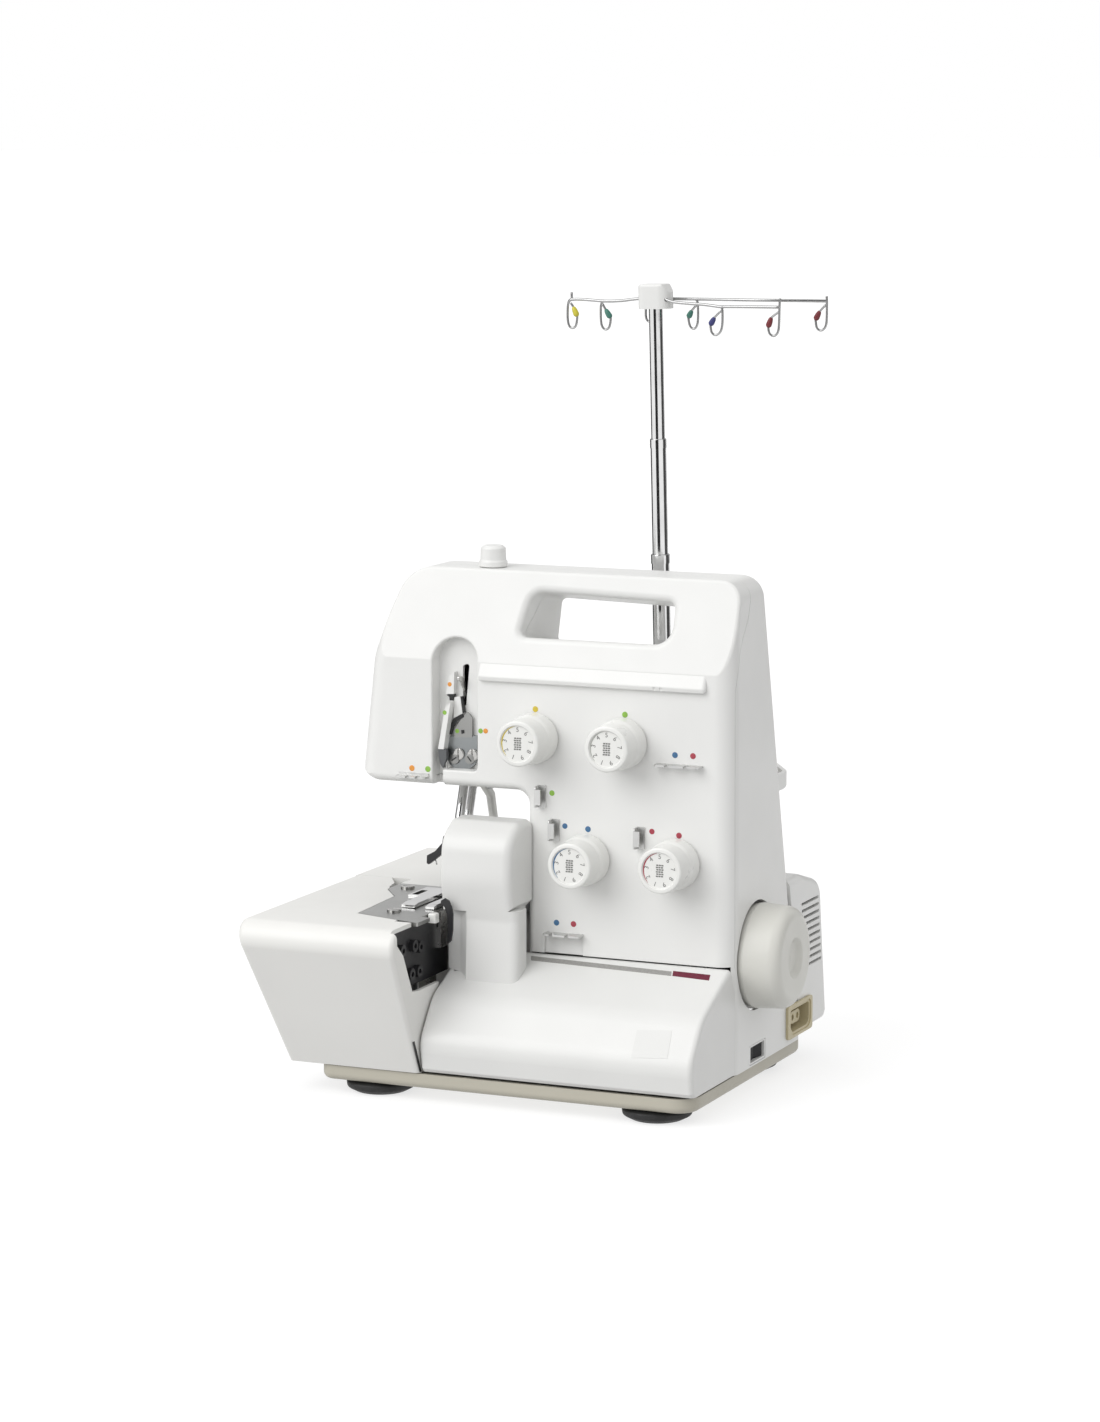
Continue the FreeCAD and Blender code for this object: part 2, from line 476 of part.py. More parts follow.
# round the corner about the hinge
cp = cp.cut(box(-300, HINGE_X, HINGE_Y, 70, 0, 200).cut(cyl((HINGE_X, HINGE_Y, -5), (0, 0, 1), 10.0, 220)))
# clear the hinge block
cp = cp.cut(box(-300, -230, 36, 70, 0, 87.8))
boss = cyl((HINGE_X, HINGE_Y, 88.0), (0, 0, 1), 5.0, 16.0).cut(cyl((HINGE_X, HINGE_Y, 70), (0, 0, 1), 2.56, 33))
cp = cp.fuse(boss).cut(cyl((HINGE_X, HINGE_Y, 70), (0, 0, 1), 2.56, 33))
cs = sorted(cp.removeSplitter().Solids, key=lambda s: -s.Volume)
print("cloth plate pieces", [round(s.Volume) for s in cs])
put("cloth_plate", cs[0])

# --------------------------------------------------------------- needle plate
npl = prism([(-170.8, -62.4, 1), (-215, -49, 0.6), (-218, 6.6, 1), (-231.2, 25, 1), (-232.2, 30, 1), (-232.2, 45, 1), (-170.8, 45, 1)],
            "z", 104.3, BED_Z)
for x in (-203.5, -197.5, -191.5):
    npl = npl.cut(box(x - 1.6, x + 1.6, -8, 26, 100, 110))
npl = npl.cut(prism([(-189.5, 12, 1.2), (-189.5, 19, 1.2), (-179, 19, 1.2), (-179, 12, 1.2)], "z", 100, 110))
npl = npl.cut(prism([(-176.5, -45, 2), (-176.5, 30, 2), (-160, 30), (-160, -45)], "z", 100, 110))
npl = npl.cut(cyl((-222, 33, 100), (0, 0, 1), 2.1, 10)).cut(cyl((-198, -36, 100), (0, 0, 1), 2.1, 10))
# carrier under the plate
put("needle_plate", npl)
scr = []
for x, y in ((-222, 33), (-198, -36)):
    s = cyl((x, y, 96), (0, 0, 1), 2.05, 10.55).fuse(cyl((x, y, BED_Z), (0, 0, 1), 4.2, 1.3))
    s = s.cut(box(x - 5, x + 5, y - 0.5, y + 0.5, BED_Z + 0.5, BED_Z + 3))
    scr.append(s.removeSplitter())


# --------------------------------------------- knife bracket, knives, loopers
kb = prism([(-84, 103.2), (-84, 97), (-79, 91), (-67, 69), (-60, 68.5), (-8, 68.5), (-8, 92), (-30, 103.2)], "x", -180, -176.8)
for y, z in ((-74, 92), (-58, 92), (-50, 90), (-52, 76), (-62, 76)):
    kb = kb.fuse(cyl((-177, y, z), (1, 0, 0), 3.6, 3.2)).cut(cyl((-175.2, y, z), (1, 0, 0), 1.6, 3))
kb = kb.fuse(box(-219.0, -178, -24, -8, 69, 74)).removeSplitter()
put("knife_bracket", kb)
lk = box(-176.3, -174.6, -22, 10, 96, BED_Z - 0.4).fuse(box(-176.8, -174.6, -22, -9, 84, 96))
put("lower_knife", lk.removeSplitter())

uk = prism([(-6, 112), (-6, 108), (10, 106.9), (12, 112), (12, 130, 3), (2, 130, 3)], "x", -173.9, -171.9)
uk = uk.fuse(box(-172.5, -146, 3, 11, 118, 127)).fuse(box(-154, -146, 3, 24.6, 118, 127)).fuse(box(-154, -146, 18, 24.6, 108, 127)).removeSplitter()
put("upper_knife", uk)
ukg = box(-158, -142, 25.2, 45.4, 99, 122)

pv = [cyl((-150, 1, 44), (0, 1, 0), 4.0, 44.3), cyl((-138, 1, 58), (0, 1, 0), 4.0, 44.3)]
ll = cyl((-150, 2, 44), (0, 1, 0), 7.5, 9).cut(cyl((-150, 0, 44), (0, 1, 0), 4.05, 20))
ll = ll.fuse(prism([(-155, 49, 0), (-158, 84, 4), (-173, 91.5, 3), (-172, 94.0, 0.8), (-156, 90, 5), (-146, 49, 0)], "y", 3.5, 8)
             .cut(cyl((-150, 0, 44), (0, 1, 0), 4.5, 20))).removeSplitter()
put("lower_looper", ll)
ul = cyl((-138, 14, 58), (0, 1, 0), 6.5, 9).cut(cyl((-138, 10, 58), (0, 1, 0), 4.05, 20))
ul = ul.fuse(prism([(-142.5, 61, 0), (-149, 80, 4), (-166, 99, 3), (-164.5, 101.5, 0.8), (-144, 84, 5), (-134, 62, 0)], "y", 15.5, 20)
             .cut(cyl((-138, 0, 58), (0, 1, 0), 4.5, 40))).removeSplitter()
put("upper_looper", ul)

fd = None
for x in (-203.5, -197.5, -191.5):
    t = box(x - 1.0, x + 1.0, -3, 19, 96, 104.6)
    for i in range(9):
        t = t.fuse(prism([(-2 + i * 2.3, 104.5), (-1.2 + i * 2.3, 105.5), (0.3 + i * 2.3, 104.5)], "x", x - 1.0, x + 1.0))
    fd = t if fd is None else fd.fuse(t)
fd = fd.fuse(box(-204.5, -190.5, -3, 19, 90, 96)).fuse(box(-201, -194, 3, 13, 32, 91)).removeSplitter()
put("feed_dogs", fd)

# -------------------------------------------------------- needle bar, presser
def along(z, off=0.0, x=NEEDLE_X):
    return (x, bar_y(z, off), z)


nb = cyl(along(135), tdir, 3.0, (211 - 135) / math.cos(TILT))
put("needle_bar", nb)
clamp = box(-193.5, -181.5, -7, 7, -6, 6)
clamp = fil(clamp, (1.5, 1.0), lambda e: True)
clamp.rotate(V(0, 0, 0), V(1, 0, 0), -math.degrees(TILT))
clamp.translate(V(0, bar_y(135), 135))
tdn = tuple(-c for c in tdir)
clamp = clamp.cut(cyl(along(135), tdir, 3.0, 20)).cut(cyl(along(135), tdn, 1.0, 30))
put("needle_clamp", clamp)
ct = math.cos(TILT)
n = cyl(along(135), tdn, 1.0, 16.0)
n = n.fuse(cone(along(135 - 16 * ct), tdn, 1.0, 0.5, 2.0))
n = n.fuse(cyl(along(135 - 18 * ct), tdn, 0.5, 8.0))
n = n.fuse(cone(along(135 - 26 * ct), tdn, 0.5, 0.08, 2.5))
put("needle", n.removeSplitter())

OFF_P = 12.5
pb = cyl(along(119, OFF_P), tdir, 3.0, (195.3 - 119) / math.cos(TILT))
put("presser_bar", pb)
foot = prism([(-24, 107.0), (-24, 108.4), (-19, 109.2), (28, 109.2), (30, 108), (30, 107.0)], "x", -207, -178)
foot = foot.cut(box(-190.5, -183.5, -30, 22, 100, 120)).cut(box(-208, -199.0, -30, 2, 100, 120))
for x in (-203.5,):
    foot = foot.cut(box(x - 2, x + 2, 4, 18, 100, 110.5))
ank = prism([(25.4, 108.5), (27.8, 116.5, 0.5), (31.0, 125.5, 1.0), (38.6, 125.5, 2), (40.5, 119, 2), (33, 108.5)], "x", -191.5, -182.5)
foot = foot.fuse(ank).cut(cyl(along(119, OFF_P), tdir, 3.0, 40)).removeSplitter()
fsx = cyl((-182.5, bar_y(122.0, OFF_P), 122.0), (1, 0, 0), 2.8, 3.6)
put("presser_foot", comp([foot, fsx]))

# presser lifter lever behind the head
lb = box(-196, -193.4, 58, 68, 166, HEAD_Z).fuse(box(-180.6, -178, 58, 68, 166, HEAD_Z))
lb = lb.cut(cyl((-200, 63, 170.5), (1, 0, 0), 2.0, 30))

lev = prism([(59, 170.5, 3), (63, 175, 3), (67.5, 171, 2), (79.6, 160.5, 4), (84.4, 143, 12), (90, 134.5, 2.5), (85.5, 131.5, 2.5), (79, 141, 12), (74, 158, 5), (64, 166, 3)],
            "x", -189.2, -184.8)
lev = fil(lev, (1.6, 1.2, 0.8), lambda e: bb(e).XLength < 0.01)
lev = lev.cut(cyl((-200, 63, 170.5), (1, 0, 0), 2.06, 30))
put("presser_lifter", lev)

# pressure knob on top, its screw and spring
pk = revolve([(0, 0), (0, 8.4, 0.8), (3.0, 8.4, 1), (4.2, 7.6, 0.5), (11.0, 7.4, 1.6), (12.6, 5.5, 1), (12.6, 0)], "z", (-162.5, 27, TOP_Z + 0.3), (0, 0, 1))
pk = pk.fuse(cyl((-162.5, 27, 262), (0, 0, 1), 3.6, TOP_Z - 261.0)).removeSplitter()
put("pressure_knob", pk)


def spring(c, axis, r, wire, height, turns):
    h = Part.makeHelix(height / turns, height, r)
    w = wire * 0.9
    sec = Part.makePolygon([V(r - w, 0, -w), V(r + w, 0, -w), V(r + w, 0, w), V(r - w, 0, w), V(r - w, 0, -w)])
    s = Part.Wire(h.Edges).makePipeShell([sec], True, True)
    if axis == "y":
        s.rotate(V(0, 0, 0), V(1, 0, 0), -90)
    s.translate(V(*c))
    return s


pressure_spring = spring((-162.5, 27, 264), "z", 5.3, 0.7, 27, 6)

# -------------------------------------------------- take-up lever and plates
tl = prism([(20.0, 208, 2), (25, 208, 2), (25, 216, 2), (22, 216, 1), (17, 229, 2), (7.0, 241.0, 1.0), (2.0, 241.5, 0.8), (2.0, 239.3, 0.5), (6.0, 238.0, 1), (14.5, 227, 2)],
           "x", -174.6, -173.4)
tl = tl.fuse(cyl((-176.5, 22.5, 212), (1, 0, 0), 4.0, 5)).cut(cyl((-180, 22.5, 212), (1, 0, 0), 2.05, 20)).removeSplitter()
put("take_up_lever", tl)
tpin = cyl((-179, 22.5, 212), (1, 0, 0), 2.0, 14).fuse(box(-170.5, -165, 19, 30, 209, 215)).removeSplitter()
put("pivot_pins", comp([cyl((HINGE_X, HINGE_Y, 80), (0, 0, 1), 2.5, 22), cyl((-197, 63, 170.5), (1, 0, 0), 2.0, 20), tpin] + pv))

pl1 = prism([(-184.5, 187.5, 2), (-186.5, 214, 2), (-182, 238.5, 1.5), (-177.5, 238.5, 1.5), (-177.0, 216, 3), (-163, 209, 3), (-162.2, 187.5, 5)], "y", 9.3, 10.9)
pl1 = pl1.cut(prism([(-181.5, 208, 2), (-180.5, 216, 2), (-176.5, 212.5, 1.5), (-177.5, 206, 1.5)], "y", 8, 12))
arm = prism([(-188.6, 194, 0.6), (-188.2, 221, 0.6), (-185.2, 221, 0.6), (-185.6, 194, 0.6)], "y", 1.6, 9.2)
arm = arm.cut(box(-187.8, -180, 2.6, 8.4, 180, 240))
arm = arm.fuse(prism([(-186.2, 226, 0.6), (-185.2, 240, 0.6), (-180.6, 240, 0.6), (-181.2, 226, 0.6)], "y", 7.5, 9.2))
arm = arm.fuse(box(-186.5, -185.4, 8.2, 9.2, 215, 232)).removeSplitter()
put("needle_thread_plate", comp([pl1, arm]))
ps = []
for x, z in ((-176.5, 194.5), (-167.5, 194.5)):
    s = cyl((x, 9.3, z), (0, -1, 0), 3.6, 2.0)
    s = fil(s, (0.7,), lambda e: abs(mid(e).y - 7.3) < 0.01)
    s = s.cut(box(x - 0.5, x + 0.5, 6, 8.2, z - 4, z + 4))
    ps.append(s)


# --------------------------------------------------------------- thread rail
rail = prism([(0, 240.6, 0), (-2.8, 240.6, 0.8), (-3.6, 243.2, 1.6), (0, 250.4, 0)], "x", -158.5, -17)
rail = fil(rail, (2.0, 1.2, 0.8), lambda e: mid(e).x > -17.01 and bb(e).YLength + bb(e).ZLength > 3 and mid(e).y < -1)
for x in (-48, -44):
    rail = rail.cut(prism([(x - 0.9, -10, 0), (x - 0.9, -2.6, 0.6), (x + 0.9, -2.6, 0.6), (x + 0.9, -10, 0)], "z", 238, 243.0))
put("thread_rail", rail)

# panel and head thread guides: bent plates standing on the panel
g = []
for x, z in ((-119.4, 174.5), (-110.8, 155.2), (-57.2, 154.2)):
    a = prism([(x - 2.6, z - 6.5, 0.6), (x - 2.6, z + 6.5, 0.6), (x + 2.6, z + 6.5, 0.6), (x + 2.6, z - 6.5, 0.6)], "y", -1.0, 0)
    a = a.fuse(prism([(-6.0, z - 6.0, 1), (-6.0, z + 6.0, 1), (-0.5, z + 6.5, 0), (-0.5, z - 6.5, 0)], "x", x - 2.6, x - 1.6))
    a = a.fuse(box(x - 2.6, x + 1.2, -6.0, -5.0, z - 4.5, z + 4.5))
    g.append(a.removeSplitter())
a = prism([(-47, -7.5, 2), (-19, -7.5, 2), (-19, 0, 0), (-47, 0, 0)], "z", 197.6, 198.7)
a = a.cut(prism([(-40, -9, 0), (-40, -3.2, 1), (-37.6, -3.2, 1), (-37.6, -9, 0)], "z", 190, 200))
a = a.cut(prism([(-28.4, -9, 0), (-28.4, -3.2, 1), (-26, -3.2, 1), (-26, -9, 0)], "z", 190, 200))
g.append(a)
a = prism([(-116.4, -8.0, 2), (-93, -8.0, 2), (-93, 0, 0), (-116.4, 0, 0)], "z", 93.4, 94.5)
a = a.cut(prism([(-112, -9, 0), (-112, -3.2, 1), (-109.6, -3.2, 1), (-109.6, -9, 0)], "z", 90, 100))
a = a.cut(prism([(-102, -9, 0), (-102, -3.2, 1), (-99.6, -3.2, 1), (-99.6, -9, 0)], "z", 90, 100))
g.append(a)
hg = prism([(-211.5, -6.0, 1.5), (-192, -6.0, 1.5), (-192, 0, 0), (-211.5, 0, 0)], "z", 180.4, 181.6)
hg = hg.cut(prism([(-205, -9, 0), (-205, -2.6, 1), (-202.6, -2.6, 1), (-202.6, -9, 0)], "z", 178, 184))
hg = hg.cut(prism([(-198.6, -9, 0), (-198.6, -2.6, 1), (-196.2, -2.6, 1), (-196.2, -9, 0)], "z", 178, 184))
hg = hg.fuse(box(-211.5, -192, -1.0, 0, 180.4, 183.0)).removeSplitter()
put("thread_guides", comp(g + [hg]))

# -------------------------------------------------------------- tension units
posts, discs, springs = [], [], []
tp = box(-127 + 1.5, -22, 18.4, 20.8, 126, 222)
for x, z in DIALS:
    posts.append(cyl((x, -24, z), (0, 1, 0), 3.0, 43.0))
    for y0 in (3.2, 4.6):
        d = cone((x, y0, z), (0, 1, 0), 9.0, 10.5, 0.9).cut(cyl((x, 0, z), (0, 1, 0), 3.05, 20))
        discs.append(d)
    springs.append(spring((x, 7.2, z), "y", 4.4, 0.5, 9.0, 4))
    tp = tp.cut(cyl((x, 0, z), (0, 1, 0), 3.0, 40))
tp = tp.fuse(box(-117, -93, 20.8, 22.0, 126, 222)).removeSplitter()
for x, z in DIALS:
    tp = tp.cut(cyl((x, 0, z), (0, 1, 0), 3.0, 40))
put("tension_units", comp([tp] + posts + discs))
put("coil_springs", comp(springs + [pressure_spring]))
for i, (x, z) in enumerate(DIALS):
    d = revolve([(-24.6, 0), (-26.0, 0), (-26.0, 10.3, 0.3), (-27.2, 10.9, 0.3), (-27.0, 13.4, 1.6), (-13, 13.6, 1.0),
                 (-10.5, 14.6, 1.0), (-1.4, 14.9, 1.4), (-0.6, 13.5), (-0.6, 11.5), (-18, 11.0, 1), (-18, 5.5, 1), (-2.0, 5.5), (-2.0, 3.06), (-24.6, 3.06)],
                "y", (x, 0, z), (0, 1, 0))
    put("tension_dial_%d" % (i + 1), d)

# --------------------------------------------------- looper cover and guard
CP = [(4.0, 72.4), (-0.9, PANEL_Z - 0.6), (-4.0, PANEL_Z - 0.6, 2.0), (-46, 61.2, 24), (-64.4, 37.5, 17), (-61.2, 20.8), (-59.4, CASE_Z + 1.0), (4.0, CASE_Z + 1.0)]
CPI = [(14.0, PANEL_Z - 3.1), (-3.5, PANEL_Z - 3.1, 1.0), (-45, 59.0, 21.5), (-61.8, 37.0, 15), (-58.6, CASE_Z - 6), (14.0, CASE_Z - 6)]
lc = prism(CP, "x", COVER_X0, -0.2)
lc = fil(lc, (9.0, 7.0, 5.0, 3.0), lambda e: abs(mid(e).x + 0.2) < 0.01 and mid(e).y < 3 and mid(e).z > CASE_Z + 2 and not (bb(e).ZLength > 50 and bb(e).YLength < 0.1))
lc = fil(lc, (4.0, 2.5, 1.5), lambda e: abs(mid(e).x - COVER_X0) < 0.01 and mid(e).y < 3 and mid(e).z > CASE_Z + 2 and not (bb(e).ZLength > 50 and bb(e).YLength < 0.1))
lci = prism(CPI, "x", COVER_X0 + WALL, -2.7)
lci = fil(lci, (6.5, 4.5, 3.0), lambda e: abs(mid(e).x + 2.7) < 0.01 and mid(e).y < 13 and mid(e).z > CASE_Z + 2 and not (bb(e).ZLength > 50 and bb(e).YLength < 0.1))
lc = lc.cut(lci)
# lugs on the hinge rod, and square marking pad and stripes let into the face
for x in (-150, -95, -40):
    lug = prism([(-61, 26.5, 0), (-53, 26.5, 2), (-53, 19.2, 2), (-61, 19.2, 0)], "x", x, x + 12).common(prism(CP, "x", -300, 10))
    lc = lc.fuse(lug)
lc = lc.cut(cyl((-200, COVER_PIV_Y + 1.0, COVER_PIV_Z), (1, 0, 0), 2.06, 195.5))
# under the guard the cover is open, so the loopers can be reached
lc = lc.cut(box(COVER_X0 + 4, -133, -24, 20, 50, 100)).cut(box(-175, -150, -1.2, 20, 0, 100))
ls = sorted(lc.removeSplitter().Solids, key=lambda s: -s.Volume)
print("looper cover pieces", [round(s.Volume) for s in ls])
put("looper_cover", ls[0])

gx0, gx1, gx2, gx3 = COVER_X0 - 0.0, -125.6, -129.6, -122.5
gprof = [(-1.0, 68), (-1.0, 160.5), (-16, 160.5, 9), (-31.5, 152, 18), (-33.5, 128, 40), (-30.6, 112, 10), (-29.0, 104, 10), (-31.0, 68)]


def guard_half(x1, keep):
    g0 = prism(gprof, "x", gx0, x1)
    g0 = fil(g0, (5.0, 4.0, 3.0), lambda e: abs(mid(e).x - x1) < 0.01 and mid(e).y < -2 and mid(e).z > 69)
    g0 = fil(g0, (1.4, 1.0, 0.7), lambda e: abs(mid(e).x - gx0) < 0.01 and mid(e).y < -2 and mid(e).z > 114)
    return g0.common(keep)


up = prism([(gx0 - 5, 170), (gx0 - 5, 108), (gx2 - 1.0, 108), (gx1 + 1.5, 114.5), (gx1 + 1.5, 170)], "y", -60, 10)
low = guard_half(gx3, box(gx0 - 5, 0, -60, 10, 50, 110.5)).cut(box(gx2, 0, -16, 10, 40, 120))
gd = guard_half(gx1, up).fuse(low).removeSplitter()
gdi = prism([(5, 50), (5, 157.5), (-15, 157.5, 7), (-28.5, 150.5, 15), (-30.5, 128, 38), (-27.5, 111.5, 12), (-26.0, 104, 8), (-28.0, 50)], "x", gx0 + 2.6, gx2 - 2.6)
# step in the lower left of the guard
gd = gd.cut(prism([(gx0 - 1, -40, 0), (gx0 - 1, -21.5, 0), (-160.5, -24.5, 6), (-154.6, -29.2, 0.8), (-154.0, -40, 0)], "z", 60, 109.0))
gdi = gdi.cut(box(gx0 - 1, -152, -40, -18, 40, 111.5))
gd = gd.cut(gdi)
gd = gd.cut(prism(CP, "x", -300, 10))
gs = sorted(gd.removeSplitter().Solids, key=lambda s: -s.Volume)
print("guard pieces", [round(s.Volume) for s in gs])
put("knife_guard", gs[0])

rod = cyl((-164, COVER_PIV_Y + 1.0, COVER_PIV_Z), (1, 0, 0), 2.0, 158)
put("cover_rod", rod)
brs = []
for x in (-122, -66):
    b = cyl((x, COVER_PIV_Y + 1.0, COVER_PIV_Z), (1, 0, 0), 3.2, 8).fuse(box(x, x + 8, COVER_PIV_Y + 1.0, 6.0, 21.0, 25.2))
    b = b.cut(cyl((-200, COVER_PIV_Y + 1.0, COVER_PIV_Z), (1, 0, 0), 2.06, 250))
    brs.append(b.removeSplitter())
put("brackets", comp(brs + [ukg] + lb.Solids))

# ------------------------------------------------------ looper bay back plate
bay = box(-126.2, -4.0, 8.6, 10.4, 25, 80.5)
bay = bay.cut(box(-30, 0, 5, 20, 45, 90))
put("looper_bay_plate", bay)

# small slide knob of the stitch finger
kn = prism([(-176.0, -37.0, 0.8), (-176.0, -31, 0.8), (-171.0, -31, 1.2), (-171.0, -37.0, 1.2)], "z", 101.6, 107.0)
kn = fil(kn, (0.8, 0.5), lambda e: abs(mid(e).z - 107.0) < 0.01)
put("stitch_finger_knob", kn)

# -------------------------------------------------- adjusters on the left side
sd = revolve([(-5.8, 0), (-5.8, 9.6, 1.2), (-3.6, 11.0, 1), (-0.2, 11.0, 0.6), (-0.2, 3.0), (16, 3.0), (16, 0)], "x", (bed_x(62) - 2.5, 96, 62), (1, 0, 0))
put("stitch_length_dial", sd)
fl = box(bed_x(62) - 8, bed_x(62) + 18, 133.5, 138.5, 59.5, 64.5)
fl = fil(fl, (1.2, 0.8), lambda e: True)
put("feed_lever", fl)

# ----------------------------------------------------------------- spool stand
tray = prism([(-166, 82, 10), (-166, 140, 16), (-146, 168, 16), (-38, 168, 16), (-17, 134, 14), (-17, 82, 10)], "z", TRAY_Z - 5, TRAY_Z + 6)
tray = fil(tray, (3.0, 2.0), lambda e: abs(mid(e).z - (TRAY_Z - 5)) < 0.01)
tray = tray.cut(prism([(-163.4, 84.6, 8), (-163.4, 139, 14), (-144.6, 165.4, 14), (-39.4, 165.4, 14), (-19.6, 133.2, 12), (-19.6, 84.6, 8)], "z", TRAY_Z, TRAY_Z + 20))
tray = tray.cut(prism([(60, 100), (60, 200), (back_y(200) + 0.6, 200), (back_y(100) + 0.6, 100)], "x", -300, 60))
tray = tray.fuse(cyl((MAST_X, MAST_Y + 4, TRAY_Z - 1), (0, 0, 1), 11, 14)).cut(cyl((MAST_X + 0.3, MAST_Y, TRAY_Z - 0.5), (0, 0, 1), 6.2, 40))
PINS = [(-145, 128), (-108, 148), (-68, 148), (-36, 126)]
for x, y in PINS:
    tray = tray.fuse(cyl((x, y, TRAY_Z - 1), (0, 0, 1), 6, 3)).cut(cyl((x, y, TRAY_Z - 3), (0, 0, 1), 2.14, 20))
tray = tray.cut(prism([(60, 100), (60, 200), (back_y(200) + 0.6, 200), (back_y(100) + 0.6, 100)], "x", -300, 60))
brk = prism([(back_y(160) + 0.4, 160), (back_y(130) + 0.4, 130), (back_y(130) + 5, 130), (back_y(160) + 5, 158), (120, TRAY_Z - 8), (120, TRAY_Z - 5), (back_y(TRAY_Z - 5) + 0.6, TRAY_Z - 5)], "x", -110, -50)
tray = tray.fuse(brk)
ts = sorted(tray.removeSplitter().Solids, key=lambda s: -s.Volume)
print("stand pieces", [round(q.Volume) for q in ts])
put("spool_stand", ts[0])
sp, sr = [], []
for x, y in PINS:
    # the shank stands in the tray, the free length above the rest takes a spool
    s = cyl((x, y, TRAY_Z - 3), (0, 0, 1), 2.1, 14.3).fuse(cyl((x, y, TRAY_Z + 11.3), (0, 0, 1), 2.5, 49.7))
    s = s.fuse(cone((x, y, TRAY_Z + 61), (0, 0, 1), 2.5, 1.6, 2.5)).removeSplitter()
    sp.append(s)
    c = revolve([(0, 2.2), (0, 13.5, 0.8), (1.6, 13.5, 0.8), (2.4, 8.0, 1), (9.0, 5.2, 0.8), (9.0, 2.2)], "z", (x, y, TRAY_Z + 2.05), (0, 0, 1))
    sr.append(c)
put("spool_pins", comp(sp))
put("spool_rests", comp(sr))

# ------------------------------------------------------- telescopic mast, head
def lean(s):
    s = s.copy()
    s.rotate(V(MAST_X, MAST_Y, MAST_Z0), V(0, 1, 0), -MAST_LEAN)
    return s


def ring_tube(z0, z1, ro, ri):
    t = cyl((MAST_X, MAST_Y, z0), (0, 0, 1), ro, z1 - z0)
    t = fil(t, (0.5, 0.3), lambda e: abs(mid(e).z - z1) < 0.01)
    return t.cut(cyl((MAST_X, MAST_Y, z0 - 1), (0, 0, 1), ri, z1 - z0 + 2))


low = ring_tube(TRAY_Z + 0.2, 308.5, 5.3, 4.75)
col = ring_tube(303.5, 309.0, 5.7, 5.2)
put("mast_lower_tube", lean(low.fuse(col).removeSplitter()))
m2 = ring_tube(242.0, 377.0, 4.7, 4.15).fuse(ring_tube(372.0, 377.4, 4.95, 4.6)).removeSplitter()
put("mast_middle_tube", lean(m2))
m3 = cyl((MAST_X, MAST_Y, 308.0), (0, 0, 1), 4.1, 149.0)
put("mast_upper_tube", lean(m3))

HZ = 454.0
hub = prism([(MAST_X - 9.0, MAST_Y - 7.5, 4), (MAST_X - 9.0, MAST_Y + 7.5, 4), (MAST_X + 10.2, MAST_Y + 7.5, 6), (MAST_X + 10.2, MAST_Y - 7.5, 6)], "z", HZ, HZ + 14.5)
hub = hub.cut(prism([(MAST_X + 4, HZ + 18), (MAST_X + 12, HZ + 7), (MAST_X + 30, HZ + 7), (MAST_X + 30, HZ + 30)], "y", 0, 200))
hub = fil(hub, (1.6, 1.2, 0.8), lambda e: mid(e).z > HZ + 8)
hub = hub.cut(cyl((MAST_X, MAST_Y, HZ - 1), (0, 0, 1), 4.1, 4.0))
WIRE = 1.05


def hook(x, y, z, w=6.0, h=16.0, side=1):
    """Open thread loop hanging from the bar."""
    return tube([(x, y, z), (x, y, z - h), (x - side * w, y, z - h), (x - side * w * 0.95, y, z - h * 0.42)], WIRE,
                [w * 0.48, w * 0.48])


BZ = HZ + 6.5
yb, yf = MAST_Y + 4, MAST_Y - 5
wires = []
wl = tube([(MAST_X - 8.0, MAST_Y, BZ - 0.4), (MAST_X - 24, MAST_Y, BZ - 2.2), (MAST_X - 56.0, MAST_Y, BZ - 0.9)], WIRE, [14])
wr = cyl((MAST_X + 8.0, yb, BZ - 1.6), (1, 0, 0), WIRE, 97.6)
wf = tube([(MAST_X + 8.0, yf, BZ - 1.2), (MAST_X + 24, yf - 3, BZ - 3.4), (MAST_X + 83.0, yf - 9, BZ - 5.2)], WIRE, [12])
HOOKS = []


def add_hook(x, y, z, stub):
    s = hook(x, y, z)
    if stub:
        s = s.fuse(cyl((x, y, z - 0.5), (0, 0, 1), WIRE, 4.2))
    HOOKS.append((x - 6.0 * 0.95, y, z - 16.0 * 0.42))
    return s


hk_l = [add_hook(MAST_X - 50.6, MAST_Y, BZ - 1.1, True), add_hook(MAST_X - 29.2, MAST_Y, BZ - 2.0, False)]
hk_r = [add_hook(MAST_X + 25.0, yb, BZ - 1.6, False), add_hook(MAST_X + 105.4, yb, BZ - 1.6, True)]
hk_f = [add_hook(MAST_X + 46.0, yf - 5.2, BZ - 4.1, False), add_hook(MAST_X + 82.6, yf - 9, BZ - 5.2, True)]
left_w = fuse(wl, *hk_l)
rear_w = fuse(wr, *hk_r)
front_w = fuse(wf, *hk_f)
sock = hub
for wv in (left_w, rear_w, front_w):
    sock = sock.cut(wv)
put("mast_hub", lean(sorted(sock.Solids, key=lambda s: -s.Volume)[0]))
put("thread_guide_wires", comp([lean(w) for w in (left_w, rear_w, front_w)]))

# --------------------------------------------------------------- cover screws
cs2 = []
for x, z in ((-26, 284), (-190, 284), (-26, 140), (-122, 140)):
    y = back_y(z)
    ang = math.atan(BACK_K)
    d = (0, math.cos(ang), math.sin(ang))
    c = cyl((x, y, z), d, 4.0, 1.6)
    cs2.append(c)
put("screws", comp(scr + ps + cs2))

